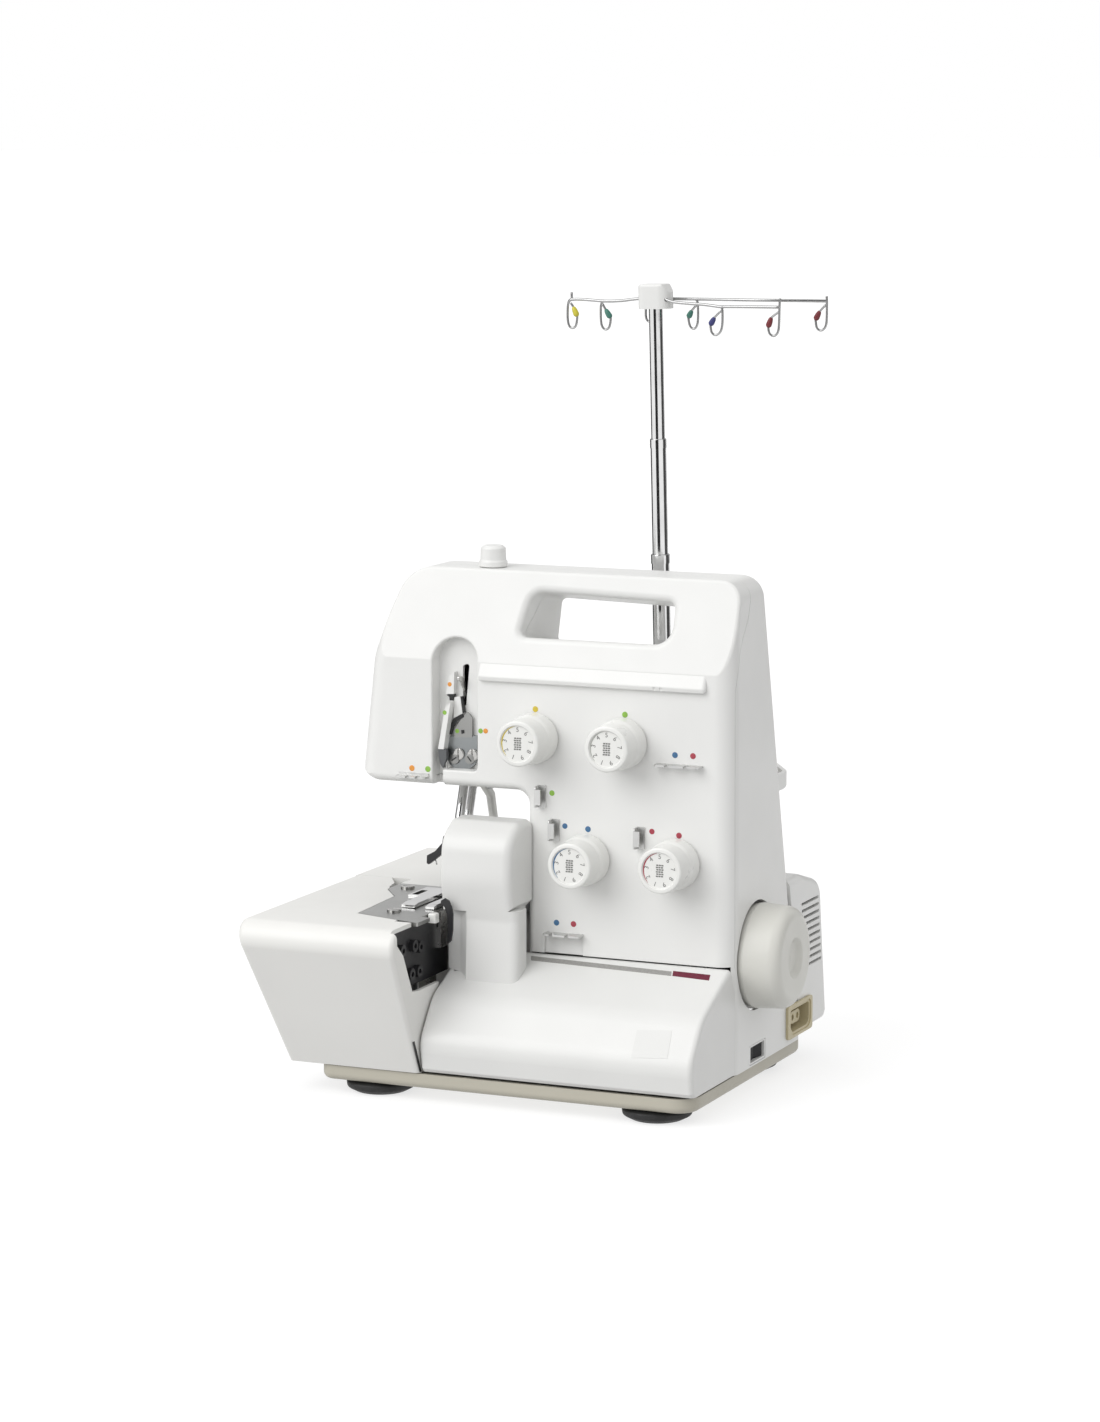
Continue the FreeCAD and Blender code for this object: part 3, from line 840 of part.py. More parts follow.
# ------------------------------------------------------------------- write out
os.makedirs("parts", exist_ok=True)
move = V(SHIFT_X, SHIFT_Y, 0)
lo = [1e9] * 3
hi = [-1e9] * 3
for name, shape in PARTS.items():
    s = shape.copy()
    s.translate(move)
    b = s.BoundBox
    lo = [min(lo[0], b.XMin), min(lo[1], b.YMin), min(lo[2], b.ZMin)]
    hi = [max(hi[0], b.XMax), max(hi[1], b.YMax), max(hi[2], b.ZMax)]
    s.exportStep("parts/%s.step" % name)
print("nodes", len(PARTS))
print("box", [round(v, 2) for v in lo], [round(v, 2) for v in hi])
print("centre offset", round((lo[0] + hi[0]) / 2, 3), round((lo[1] + hi[1]) / 2, 3))
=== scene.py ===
import json
import math

import bmesh
import bpy
from mathutils import Matrix, Vector
from mathutils.bvhtree import BVHTree


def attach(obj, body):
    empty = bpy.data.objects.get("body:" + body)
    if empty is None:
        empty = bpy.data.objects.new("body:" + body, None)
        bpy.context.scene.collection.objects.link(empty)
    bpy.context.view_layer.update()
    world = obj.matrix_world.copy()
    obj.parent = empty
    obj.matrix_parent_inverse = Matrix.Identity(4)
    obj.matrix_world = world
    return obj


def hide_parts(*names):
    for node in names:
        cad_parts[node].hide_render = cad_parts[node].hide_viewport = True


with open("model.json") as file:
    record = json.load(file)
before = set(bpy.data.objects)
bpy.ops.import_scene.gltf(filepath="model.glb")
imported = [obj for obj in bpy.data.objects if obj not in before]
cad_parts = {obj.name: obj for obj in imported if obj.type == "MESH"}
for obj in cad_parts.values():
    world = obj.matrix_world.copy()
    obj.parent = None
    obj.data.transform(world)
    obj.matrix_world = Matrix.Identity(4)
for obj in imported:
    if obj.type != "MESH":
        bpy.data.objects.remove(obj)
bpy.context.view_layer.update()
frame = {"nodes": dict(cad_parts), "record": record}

NODES = frame["nodes"]
RECORD = frame["record"]
BODY = {n: b for b, ns in RECORD["behaviour"]["bodies"].items() for n in ns}

# The part was drawn about the lower right front edge of its panel, in
# millimetres, with its right front foot at X -31, Y -38. W() takes such a
# point to the row frame in metres.
FEET = [m for m in RECORD["mounts"] if m["name"] == "feet"][0]["pos_m"]
SX, SY = FEET[0] * 1000.0 + 31.0, FEET[1] * 1000.0 + 38.0
MM = 0.001


def W(x, y, z):
    return Vector(((x + SX) * MM, (y + SY) * MM, z * MM))


def lin(r, g, b):
    """Display colour, 0 to 255, as a linear one."""
    out = []
    for c in (r, g, b):
        c /= 255.0
        out.append(c / 12.92 if c <= 0.04045 else ((c + 0.055) / 1.055) ** 2.4)
    return tuple(out) + (1.0,)


# ------------------------------------------------------------------- camera
IMG_W, IMG_H, FOCAL = 1100.0, 1422.0, 4250.0
CAM_AZ, CAM_EL = math.radians(23.5), math.radians(8.4)
CAM_POS = W(857.8, -2236.0, 584.9)

cam_data = bpy.data.cameras.new("camera")
cam_data.sensor_fit = "AUTO"
cam_data.sensor_width = 36.0
cam_data.lens = 36.0 * FOCAL / IMG_H
cam_data.clip_start, cam_data.clip_end = 0.05, 60.0
cam = bpy.data.objects.new("camera", cam_data)
cam.location = CAM_POS
cam.rotation_euler = (math.pi / 2 - CAM_EL, 0.0, CAM_AZ)
bpy.context.scene.collection.objects.link(cam)
bpy.context.scene.camera = cam

CAM_M = Matrix.LocRotScale(CAM_POS, cam.rotation_euler.to_quaternion(), None)


def pixel_ray(px, py):
    d = Vector(((px - IMG_W / 2) / FOCAL, -(py - IMG_H / 2) / FOCAL, -1.0))
    return CAM_POS.copy(), (CAM_M.to_3x3() @ d).normalized()


TREES = {}


def tree(node):
    if node not in TREES:
        me = NODES[node].data
        TREES[node] = BVHTree.FromPolygons([v.co.copy() for v in me.vertices], [tuple(p.vertices) for p in me.polygons])
    return TREES[node]


def hit(node, px, py):
    """Where the line of sight through a picture point meets a node."""
    o, d = pixel_ray(px, py)
    loc, nrm, idx, dist = tree(node).ray_cast(o, d)
    if loc is None:
        return None, None
    return loc, (nrm if nrm.dot(d) < 0 else -nrm).normalized()


# ---------------------------------------------------------------- materials
def new_mat(name):
    m = bpy.data.materials.new(name)
    m.use_nodes = True
    nt = m.node_tree
    for n in list(nt.nodes):
        nt.nodes.remove(n)
    out = nt.nodes.new("ShaderNodeOutputMaterial")
    b = nt.nodes.new("ShaderNodeBsdfPrincipled")
    nt.links.new(b.outputs["BSDF"], out.inputs["Surface"])
    return m, nt, b


def noise(nt, scale, detail=2.0, rough=0.5, coords="Object", stretch=None):
    tc = nt.nodes.new("ShaderNodeTexCoord")
    src = tc.outputs[coords]
    if stretch is not None:
        mp = nt.nodes.new("ShaderNodeMapping")
        mp.inputs["Scale"].default_value = stretch
        nt.links.new(src, mp.inputs["Vector"])
        src = mp.outputs["Vector"]
    n = nt.nodes.new("ShaderNodeTexNoise")
    n.inputs["Scale"].default_value = scale
    n.inputs["Detail"].default_value = detail
    n.inputs["Roughness"].default_value = rough
    nt.links.new(src, n.inputs["Vector"])
    return n.outputs["Fac"]


def ramp(nt, fac, stops):
    r = nt.nodes.new("ShaderNodeValToRGB")
    els = r.color_ramp.elements
    while len(els) < len(stops):
        els.new(0.5)
    for e, (p, c) in zip(els, stops):
        e.position = p
        e.color = c
    nt.links.new(fac, r.inputs["Fac"])
    return r.outputs["Color"]


def mapr(nt, fac, a, b, lo, hi):
    m = nt.nodes.new("ShaderNodeMapRange")
    m.inputs["From Min"].default_value = a
    m.inputs["From Max"].default_value = b
    m.inputs["To Min"].default_value = lo
    m.inputs["To Max"].default_value = hi
    nt.links.new(fac, m.inputs["Value"])
    return m.outputs["Result"]


def bump(nt, bsdf, fac, strength, dist, prev=None):
    bp = nt.nodes.new("ShaderNodeBump")
    bp.inputs["Strength"].default_value = strength
    bp.inputs["Distance"].default_value = dist
    nt.links.new(fac, bp.inputs["Height"])
    if prev is not None:
        nt.links.new(prev, bp.inputs["Normal"])
    nt.links.new(bp.outputs["Normal"], bsdf.inputs["Normal"])
    return bp.outputs["Normal"]


def scaled(c, k):
    return (min(1.0, c[0] * k), min(1.0, c[1] * k), min(1.0, c[2] * k), 1.0)


def plastic(name, col, rough=0.36, var=0.02, grain=0.05, spec=0.5, coat=0.0):
    """Moulded plastic: faint flow marks, satin spark-eroded grain."""
    m, nt, b = new_mat(name)
    n1 = noise(nt, 14.0, 3.0)
    nt.links.new(ramp(nt, n1, [(0.3, scaled(col, 1 - var)), (0.7, scaled(col, 1 + var))]), b.inputs["Base Color"])
    n2 = noise(nt, 60.0, 4.0)
    nt.links.new(mapr(nt, n2, 0.3, 0.7, rough - 0.04, rough + 0.05), b.inputs["Roughness"])
    b.inputs["Specular IOR Level"].default_value = spec
    if coat:
        b.inputs["Coat Weight"].default_value = coat
        b.inputs["Coat Roughness"].default_value = 0.12
    g = noise(nt, 1500.0, 2.0)
    bump(nt, b, g, grain, 0.0003)
    return m


def metal(name, col, rough=0.25, var=0.06, brush=None, scratch=0.03):
    m, nt, b = new_mat(name)
    b.inputs["Metallic"].default_value = 1.0
    n1 = noise(nt, 60.0, 4.0)
    nt.links.new(ramp(nt, n1, [(0.3, scaled(col, 1 - var)), (0.7, scaled(col, 1 + var))]), b.inputs["Base Color"])
    n2 = noise(nt, 260.0, 3.0, stretch=brush)
    nt.links.new(mapr(nt, n2, 0.25, 0.75, max(0.02, rough - 0.05), rough + 0.07), b.inputs["Roughness"])
    if scratch:
        n3 = noise(nt, 900.0, 2.0, stretch=brush)
        bump(nt, b, n3, scratch, 0.0002)
    return m


def rubber(name, col, rough=0.62):
    m, nt, b = new_mat(name)
    n1 = noise(nt, 90.0, 4.0)
    nt.links.new(ramp(nt, n1, [(0.3, scaled(col, 0.8)), (0.7, scaled(col, 1.3))]), b.inputs["Base Color"])
    n2 = noise(nt, 200.0, 2.0)
    nt.links.new(mapr(nt, n2, 0.3, 0.7, rough - 0.08, rough + 0.1), b.inputs["Roughness"])
    bump(nt, b, noise(nt, 700.0, 3.0), 0.12, 0.0004)
    return m


def ink(name, col, rough=0.45):
    """Printed or labelled mark: slightly uneven ink. The grey crescent on the second dial made with it is painted
    shade, not print.
    """
    m, nt, b = new_mat(name)
    n1 = noise(nt, 700.0, 3.0)
    nt.links.new(ramp(nt, n1, [(0.3, scaled(col, 0.9)), (0.7, scaled(col, 1.1))]), b.inputs["Base Color"])
    nt.links.new(mapr(nt, noise(nt, 300.0, 2.0), 0.3, 0.7, rough - 0.05, rough + 0.08), b.inputs["Roughness"])
    return m


WHITE = (0.80, 0.80, 0.785, 1.0)
M = {
    "casing": plastic("casing_plastic", WHITE, 0.36),
    "cover": plastic("cover_plastic", (0.745, 0.745, 0.73, 1.0), 0.35),
    "bed": plastic("bed_plastic", (0.80, 0.795, 0.77, 1.0), 0.38),
    "base": plastic("base_plastic", (0.475, 0.45, 0.375, 1.0), 0.42),
    "wheel": plastic("wheel_plastic", (0.675, 0.67, 0.625, 1.0), 0.36),
    "dial": plastic("dial_plastic", (0.82, 0.82, 0.795, 1.0), 0.30, coat=0.15),
    "inlet": plastic("inlet_plastic", (0.56, 0.49, 0.31, 1.0), 0.4, var=0.05),
    "black": plastic("black_plastic", (0.012, 0.012, 0.013, 1.0), 0.33, var=0.2),
    "foot": rubber("foot_rubber", (0.013, 0.013, 0.013, 1.0)),
    "belt": rubber("belt_rubber", (0.02, 0.02, 0.02, 1.0)),
    "cast": metal("cast_alloy", (0.52, 0.53, 0.54, 1.0), 0.5, brush=None, scratch=0.25),
    "steel": metal("bright_steel", (0.55, 0.545, 0.53, 1.0), 0.24),
    "plate": metal("brushed_plate", (0.40, 0.40, 0.39, 1.0), 0.30, brush=(1.0, 30.0, 30.0), scratch=0.08),
    "guide": metal("satin_guide", (0.64, 0.64, 0.63, 1.0), 0.40, brush=(30.0, 30.0, 1.0), scratch=0.06),
    "fin": metal("thread_fin_steel", (0.34, 0.34, 0.33, 1.0), 0.34),
    "thread_plate": metal("thread_plate_steel", (0.30, 0.315, 0.32, 1.0), 0.32, brush=(1.0, 30.0, 30.0), scratch=0.08),
    "chrome": metal("chrome", (0.72, 0.72, 0.72, 1.0), 0.07, scratch=0.0),
    "wire": metal("guide_wire", (0.40, 0.40, 0.40, 1.0), 0.16, scratch=0.0),
    "bronze": metal("bronze", (0.55, 0.38, 0.18, 1.0), 0.35),
    "blackmetal": plastic("black_enamel", (0.016, 0.016, 0.018, 1.0), 0.38, var=0.2, grain=0.12),
    "rocker": plastic("rocker_plastic", (0.010, 0.010, 0.011, 1.0), 0.6, var=0.2, spec=0.25),
    "pad": plastic("pad_plastic", (0.715, 0.715, 0.70, 1.0), 0.42),
    "motor": plastic("motor_paint", (0.10, 0.105, 0.11, 1.0), 0.45, var=0.1),
    "yellow": ink("ink_yellow", lin(208, 186, 62)),
    "green": ink("ink_green", lin(138, 184, 72)),
    "blue": ink("ink_blue", lin(66, 110, 150)),
    "red": ink("ink_red", lin(168, 62, 76)),
    "orange": ink("ink_orange", lin(226, 150, 62)),
    "grey": ink("ink_grey", lin(118, 118, 116)),
    "stripe": ink("ink_stripe", lin(150, 149, 146)),
    "maroon": ink("ink_maroon", lin(104, 0, 42)),
    # painted shade: flat grey crescent for the shaded recess wall of the second dial
    "wall_shade_grey": ink("painted_wall_shade_grey", lin(176, 178, 172)),
    "sleeve_yellow": plastic("sleeve_yellow", lin(206, 196, 58), 0.45, var=0.08),
    "sleeve_green": plastic("sleeve_green", lin(64, 122, 108), 0.45, var=0.08),
    "sleeve_blue": plastic("sleeve_blue", lin(54, 58, 120), 0.45, var=0.08),
    "sleeve_red": plastic("sleeve_red", lin(122, 40, 46), 0.45, var=0.08),
}

NODE_MAT = {
    "front_cover": "casing", "rear_cover": "casing", "motor_cover": "casing", "looper_cover": "cover",
    "knife_guard": "cover", "thread_rail": "casing", "spool_stand": "casing", "mast_hub": "casing",
    "pressure_knob": "casing", "switch_frame": "casing", "presser_lifter": "bed", "stitch_finger_knob": "dial",
    "bed_cover": "bed", "cloth_plate": "bed", "base_pan": "base", "spool_rests": "base",
    "stitch_length_dial": "base", "feed_lever": "base", "handwheel": "wheel",
    "tension_dial_1": "dial", "tension_dial_2": "dial", "tension_dial_3": "dial", "tension_dial_4": "dial",
    "power_inlet": "inlet", "power_rocker": "rocker", "main_pulley": "black", "rubber_feet": "foot",
    "drive_belt": "belt", "machine_frame": "cast", "brackets": "cast",
    "main_shaft": "steel", "motor_pulley": "steel", "needle_plate": "plate", "lower_knife": "steel",
    "upper_knife": "blackmetal", "lower_looper": "steel", "upper_looper": "steel", "feed_dogs": "steel",
    "needle_clamp": "blackmetal", "pivot_pins": "steel", "needle_thread_plate": "steel", "tension_units": "steel",
    "coil_springs": "steel", "cover_rod": "steel", "looper_bay_plate": "plate", "screws": "steel",
    "thread_guides": "guide", "take_up_lever": "steel", "needle_bar": "chrome", "needle": "chrome",
    "presser_bar": "chrome", "presser_foot": "chrome", "spool_pins": "chrome", "mast_lower_tube": "chrome",
    "mast_middle_tube": "chrome", "mast_upper_tube": "chrome", "thread_guide_wires": "wire",
    "shaft_bushes": "bronze", "knife_bracket": "blackmetal", "motor": "motor",
}
for name, ob in NODES.items():
    ob.data.materials.clear()
    ob.data.materials.append(M[NODE_MAT[name]])


# ------------------------------------------------------------- mesh helpers
def piece(name, bm, mat, body, angle=35.0):
    bmesh.ops.remove_doubles(bm, verts=bm.verts, dist=1e-7)
    bmesh.ops.recalc_face_normals(bm, faces=bm.faces)
    me = bpy.data.meshes.new(name)
    bm.to_mesh(me)
    bm.free()
    me.shade_smooth()
    me.set_sharp_from_angle(angle=math.radians(angle))
    me.materials.append(M[mat])
    ob = bpy.data.objects.new(name, me)
    bpy.context.scene.collection.objects.link(ob)
    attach(ob, body)
    return ob


def smooth(pts, n=6):
    """Points of a curve that passes through all the given ones."""
    pts = [Vector(p) for p in pts]
    ext = [pts[0] * 2 - pts[1]] + pts + [pts[-1] * 2 - pts[-2]]
    out = []
    for i in range(1, len(ext) - 2):
        a, b, c, d = ext[i - 1], ext[i], ext[i + 1], ext[i + 2]
        for k in range(n):
            t = k / n
            out.append(0.5 * (2 * b + (c - a) * t + (2 * a - 5 * b + 4 * c - d) * t * t + (3 * b - a - 3 * c + d) * t ** 3))
    out.append(pts[-1])
    return out


def sweep(bm, pts, rads, n=14, round_ends=True):
    """Closed round bar along a line of points."""
    pts = [Vector(p) for p in pts]
    rads = list(rads) if isinstance(rads, (list, tuple)) else [rads] * len(pts)
    if round_ends:
        a, b = (pts[0] - pts[1]).normalized(), (pts[-1] - pts[-2]).normalized()
        r0, r1 = rads[0], rads[-1]
        pts = [pts[0] + a * r0 * 0.45, pts[0] + a * r0 * 0.3] + pts + [pts[-1] + b * r1 * 0.3, pts[-1] + b * r1 * 0.45]
        rads = [r0 * 0.45, r0 * 0.8] + rads + [r1 * 0.8, r1 * 0.45]
    tans = []
    for i in range(len(pts)):
        t = pts[min(i + 1, len(pts) - 1)] - pts[max(i - 1, 0)]
        tans.append(t.normalized())
    up = Vector((0, 1, 0)) if abs(tans[0].y) < 0.8 else Vector((0, 0, 1))
    u = tans[0].cross(up).normalized()
    rings = []
    for i, p in enumerate(pts):
        if i:
            u = tans[i - 1].rotation_difference(tans[i]) @ u
            u = (u - tans[i] * u.dot(tans[i])).normalized()
        v = tans[i].cross(u)
        rings.append([bm.verts.new(p + (u * math.cos(2 * math.pi * k / n) + v * math.sin(2 * math.pi * k / n)) * rads[i]) for k in range(n)])
    for a, b in zip(rings, rings[1:]):
        for k in range(n):
            bm.faces.new((a[k], a[(k + 1) % n], b[(k + 1) % n], b[k]))
    bm.faces.new(rings[0][::-1])
    bm.faces.new(rings[-1])


def spot(bm, loc, nrm, r, lift=0.00012, sink=0.0003, n=28):
    """Low button: a printed dot with its own thickness."""
    nrm = nrm.normalized()
    u = nrm.cross(Vector((0, 0, 1)) if abs(nrm.z) < 0.9 else Vector((1, 0, 0))).normalized()
    v = nrm.cross(u)
    rings = []
    for rr, h in ((r, -sink), (r, lift * 0.5), (r * 0.93, lift * 0.85), (r * 0.6, lift)):
        rings.append([bm.verts.new(loc + nrm * h + (u * math.cos(2 * math.pi * k / n) + v * math.sin(2 * math.pi * k / n)) * rr) for k in range(n)])
    for a, b in zip(rings, rings[1:]):
        for k in range(n):
            bm.faces.new((a[k], a[(k + 1) % n], b[(k + 1) % n], b[k]))
    bm.faces.new(rings[0][::-1])
    bm.faces.new(rings[-1])


def patch(bm, node, corners, nu, nv, lift=0.0001, sink=0.0004):
    """Thin closed sheet that lies on a node, given by four picture points."""
    (x0, y0), (x1, y1), (x2, y2), (x3, y3) = corners
    locs, nrms = [], []
    for j in range(nv + 1):
        t = j / nv
        for i in range(nu + 1):
            s = i / nu
            px = (1 - t) * ((1 - s) * x0 + s * x1) + t * ((1 - s) * x3 + s * x2)
            py = (1 - t) * ((1 - s) * y0 + s * y1) + t * ((1 - s) * y3 + s * y2)
            p, nn = hit(node, px, py)
            locs.append(p)
            nrms.append(nn)
    good = [q for q in nrms if q is not None]
    mean = sum(good, Vector()).normalized()
    if any(p is None for p in locs):
        raise RuntimeError("a mark runs off " + node)
    top = [bm.verts.new(p + mean * lift) for p in locs]
    low = [bm.verts.new(p - mean * sink) for p in locs]
    w = nu + 1
    for j in range(nv):
        for i in range(nu):
            a, b, c, d = j * w + i, j * w + i + 1, (j + 1) * w + i + 1, (j + 1) * w + i
            bm.faces.new((top[a], top[b], top[c], top[d]))
            bm.faces.new((low[d], low[c], low[b], low[a]))
    rim = [i for i in range(w)] + [j * w + nu for j in range(1, nv + 1)] + [nv * w + i for i in range(nu - 1, -1, -1)] + [j * w for j in range(nv - 1, 0, -1)]
    for a, b in zip(rim, rim[1:] + rim[:1]):
        bm.faces.new((top[a], low[a], low[b], top[b]))


def slab(bm, pts, normal, thick):
    """Closed plate: an outline swept along a direction."""
    d = normal.normalized() * thick
    a = [bm.verts.new(p) for p in pts]
    b = [bm.verts.new(p + d) for p in pts]
    bm.faces.new(a)
    bm.faces.new(b[::-1])
    for i in range(len(pts)):
        j = (i + 1) % len(pts)
        bm.faces.new((a[i], b[i], b[j], a[j]))


# ------------------------------------------------- thread guide wires on mast
MAST_X, MAST_Y, MAST_Z0, BAR_Z = -79.2, 88.5, 176.0, 460.5
LEAN = math.radians(-1.4)


def mast(dx, y, dz):
    """Point of the mast head: from the mast's axis, and from the bar's height."""
    z = BAR_Z + dz - MAST_Z0
    c, s = math.cos(LEAN), math.sin(LEAN)
    return W(MAST_X + dx * c + z * s, y, MAST_Z0 - dx * s + z * c)


BAR_R, LOOP_R = 0.92 * MM, 0.70 * MM
wires = bmesh.new()
left = [(-6.6, -0.4), (-14, -1.1), (-21.8, -1.9), (-32.2, -2.0), (-44.2, -1.1), (-51.0, -0.9), (-54.0, -1.5), (-55.2, -4.3), (-55.6, -9.0),
        (-55.5, -13.6), (-54.6, -16.8), (-52.7, -17.9), (-50.6, -16.8), (-49.7, -13.6), (-49.6, -10.0), (-51.6, -5.9), (-53.3, -3.2)]
lp = smooth([mast(x, 88.5, z) for x, z in left])
sweep(wires, lp, [BAR_R if i < 34 else max(LOOP_R, BAR_R - (i - 34) * 0.03 * MM) for i in range(len(lp))])
sweep(wires, [mast(-52.7, 88.5, -1.2), mast(-52.7, 88.5, 3.1)], LOOP_R)
LOOPS = [
    (88.5, [(-32.4, -2.0), (-33.6, -3.4), (-34.2, -6.5), (-34.2, -13.6), (-33.4, -17.2), (-31.3, -18.8), (-29.0, -17.4), (-28.1, -13.8), (-28.3, -10.9), (-30.9, -7.3), (-32.9, -3.8)]),
    (92.5, [(24.2, -1.4), (25.6, -2.6), (26.0, -5.4), (25.9, -13.0), (25.1, -17.0), (23.1, -18.7), (20.9, -17.2), (20.0, -13.6), (20.0, -11.2), (21.9, -8.3), (25.0, -4.9)]),
    (92.5, [(106.2, -0.2), (106.3, -4.0), (106.0, -13.8), (105.0, -18.0), (102.4, -19.8), (100.0, -18.4), (99.3, -14.9), (99.4, -12.6), (101.6, -9.1), (105.6, -5.0)]),
    (77.9, [(46.2, -5.2), (47.0, -7.5), (46.8, -15.5), (45.5, -19.8), (42.5, -21.6), (40.2, -20.2), (39.5, -16.9), (39.6, -14.9), (41.8, -11.7), (46.4, -7.4)]),
    (74.5, [(84.1, -0.6), (83.7, -5.3), (83.2, -16.0), (82.3, -20.2), (79.9, -22.0), (77.4, -20.6), (76.6, -17.4), (76.7, -15.7), (78.5, -11.6), (83.0, -8.3)]),
]
for y, pts in LOOPS:
    sweep(wires, smooth([mast(x, y, z) for x, z in pts]), LOOP_R)
sweep(wires, [mast(8.0, 92.5, -1.0), mast(58.7, 92.5, -2.0), mast(106.0, 92.5, -2.8)], BAR_R)
front = [(7.9, 84.0, -0.4), (11.8, 83.0, -1.8), (16.5, 82.0, -2.7), (27.5, 80.4, -3.5), (35.4, 79.4, -4.0), (45.9, 78.0, -5.2), (50.0, 77.4, -5.1), (66.0, 76.0, -5.2), (83.7, 74.5, -5.4)]
sweep(wires, smooth([mast(x, y, z) for x, y, z in front]), BAR_R)
sweep(wires, smooth([mast(x, 93.2, z) for x, z in ((-7.3, -7.0), (-7.4, -10.9), (-6.8, -13.4), (-5.4, -14.4), (-3.6, -13.2), (-2.6, -9.0))]), LOOP_R)
wires_ob = piece("guide_wire_loops", wires, "wire", "mast_top")
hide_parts("thread_guide_wires")

SLEEVES = {
    "sleeve_yellow": [(88.5, (-49.6, -10.6), (-51.7, -5.7))],
    "sleeve_green": [(88.5, (-28.2, -11.6), (-30.9, -7.2)), (92.5, (20.0, -11.9), (22.0, -8.2))],
    "sleeve_blue": [(77.9, (39.5, -15.6), (41.9, -11.6))],
    "sleeve_red": [(74.5, (76.6, -16.6), (78.5, -11.6)), (92.5, (99.3, -13.4), (101.7, -8.9))],
}
for nm, lst in SLEEVES.items():
    bm = bmesh.new()
    for y, a, b in lst:
        pa, pb = mast(a[0], y, a[1]), mast(b[0], y, b[1])
        k = [0.0, 0.08, 0.25, 0.6, 0.85, 1.0]
        r = [1.25, 1.62, 1.75, 1.6, 1.35, 1.05]
        sweep(bm, [pa.lerp(pb, t) for t in k], [q * MM for q in r])
    piece(nm, bm, nm, "mast_top")

# ------------------------------------------------ coloured dots on the panel
DOTS = {
    "yellow": [(-123.7, 225.4)], "green": [(-67.4, 225.5), (-192.8, 185.7)], "blue": [(-90.4, 157.0), (-36.3, 203.9), (-110.3, 100.2)],
    "red": [(-33.6, 157.2), (-25.2, 204.0), (-99.5, 100.2)], "orange": [(-203.2, 185.6)],
}
SMALL = {"blue": [(-105.0, 157.8)], "red": [(-50.4, 158.4)], "green": [(-113.2, 176.7)]}
PLATE_DOTS = {"green": [("front_cover", 480.6, 731)], "orange": [("front_cover", 485.6, 731)]}
for col in ("yellow", "green", "blue", "red", "orange"):
    bm = bmesh.new()
    for x, z in DOTS.get(col, []):
        spot(bm, W(x, 0, z), Vector((0, -1, 0)), 1.75 * MM)
    for x, z in SMALL.get(col, []):
        spot(bm, W(x, 0, z), Vector((0, -1, 0)), 1.65 * MM)
    for node, px, py in PLATE_DOTS.get(col, []):
        p, nn = hit(node, px, py)
        if p is not None:
            spot(bm, p, nn, 1.5 * MM)
    piece("panel_dots_" + col, bm, col, "chassis")

# --------------------------------------------- printed faces of the dials
DIALS = [(-123.5, 208.7, "yellow"), (-68.0, 209.0, "wall_shade_grey"), (-91.0, 139.5, "blue"), (-35.0, 140.9, "red")]


def digit_mesh(ch, size):
    cu = bpy.data.curves.new("digit", "FONT")
    cu.body = ch
    cu.size = size
    cu.extrude = 0.07 * MM
    cu.resolution_u = 4
    cu.align_x = "CENTER"
    cu.align_y = "CENTER"
    ob = bpy.data.objects.new("digit", cu)
    bpy.context.scene.collection.objects.link(ob)
    bpy.context.view_layer.update()
    dg = bpy.context.evaluated_depsgraph_get()
    me = bpy.data.meshes.new_from_object(ob.evaluated_get(dg))
    bpy.data.objects.remove(ob)
    bpy.data.curves.remove(cu)
    return me


DIGITS = {k: digit_mesh(str(k), 3.8 * MM) for k in range(1, 10)}
FACE = Matrix.Rotation(math.pi / 2, 4, "X")


def face_y(node, x, z):
    """Depth of a dial's face, looked at from straight in front."""
    loc, nrm, idx, dist = tree(node).ray_cast(W(x, -200.0, z), Vector((0, 1, 0)))
    return loc.y


for i, (cx, cz, col) in enumerate(DIALS):
    node, body = "tension_dial_%d" % (i + 1), "dial_%d" % (i + 1)
    fy = face_y(node, cx + 4.0, cz)
    base = W(cx, 0, cz)
    base.y = fy - 0.02 * MM
    bm = bmesh.new()
    for k in range(1, 10):
        a = math.radians((k - 5) * 40.0)
        tm = Matrix.Translation(base) @ FACE @ Matrix.Translation((8.1 * MM * math.sin(a), 8.1 * MM * math.cos(a), 0)) @ Matrix.Rotation(-a, 4, "Z")
        one = DIGITS[k].copy()
        one.transform(tm)
        bm.from_mesh(one)
        bpy.data.meshes.remove(one)
    for r in range(6):
        for c in range(3):
            w, h = (0.62, 0.42)
            ox, oz = (c - 1) * 1.55 + (0.12 if r % 2 else -0.12), (r - 2.5) * 1.28
            quad = [W(cx + ox - w, 0, cz + oz - h), W(cx + ox + w, 0, cz + oz - h), W(cx + ox + w, 0, cz + oz + h), W(cx + ox - w, 0, cz + oz + h)]
            for q in quad:
                q.y = fy + 0.05 * MM
            slab(bm, quad, Vector((0, -1, 0)), 0.14 * MM)
    piece("dial_marks_%d" % (i + 1), bm, "grey", body)
    # crescent round the left of the face: the dial's code colour, drawn flat as painted shade of the recess's left
    # inner wall, which shows darker there; on the second dial it is plain painted shade grey
    bm = bmesh.new()
    n = 30
    rings = []
    for j in range(n + 1):
        a = math.radians(100.0 + 125.0 * j / n)
        wide = 0.15 + 0.6 * math.sin(math.pi * j / n)
        sec = []
        for rr, dy in ((10.3 - wide, 0.05), (10.3, 0.05), (10.3, -0.06), (10.3 - wide, -0.06)):
            v = W(cx + rr * math.cos(a), 0, cz + rr * math.sin(a))
            v.y = fy + dy * MM
            sec.append(bm.verts.new(v))
        rings.append(sec)
    for a, b in zip(rings, rings[1:]):
        for k in range(4):
            bm.faces.new((a[k], a[(k + 1) % 4], b[(k + 1) % 4], b[k]))
    bm.faces.new(rings[0][::-1])
    bm.faces.new(rings[-1])
    piece("dial_band_%d" % (i + 1), bm, col, body)
for me in DIGITS.values():
    bpy.data.meshes.remove(me)

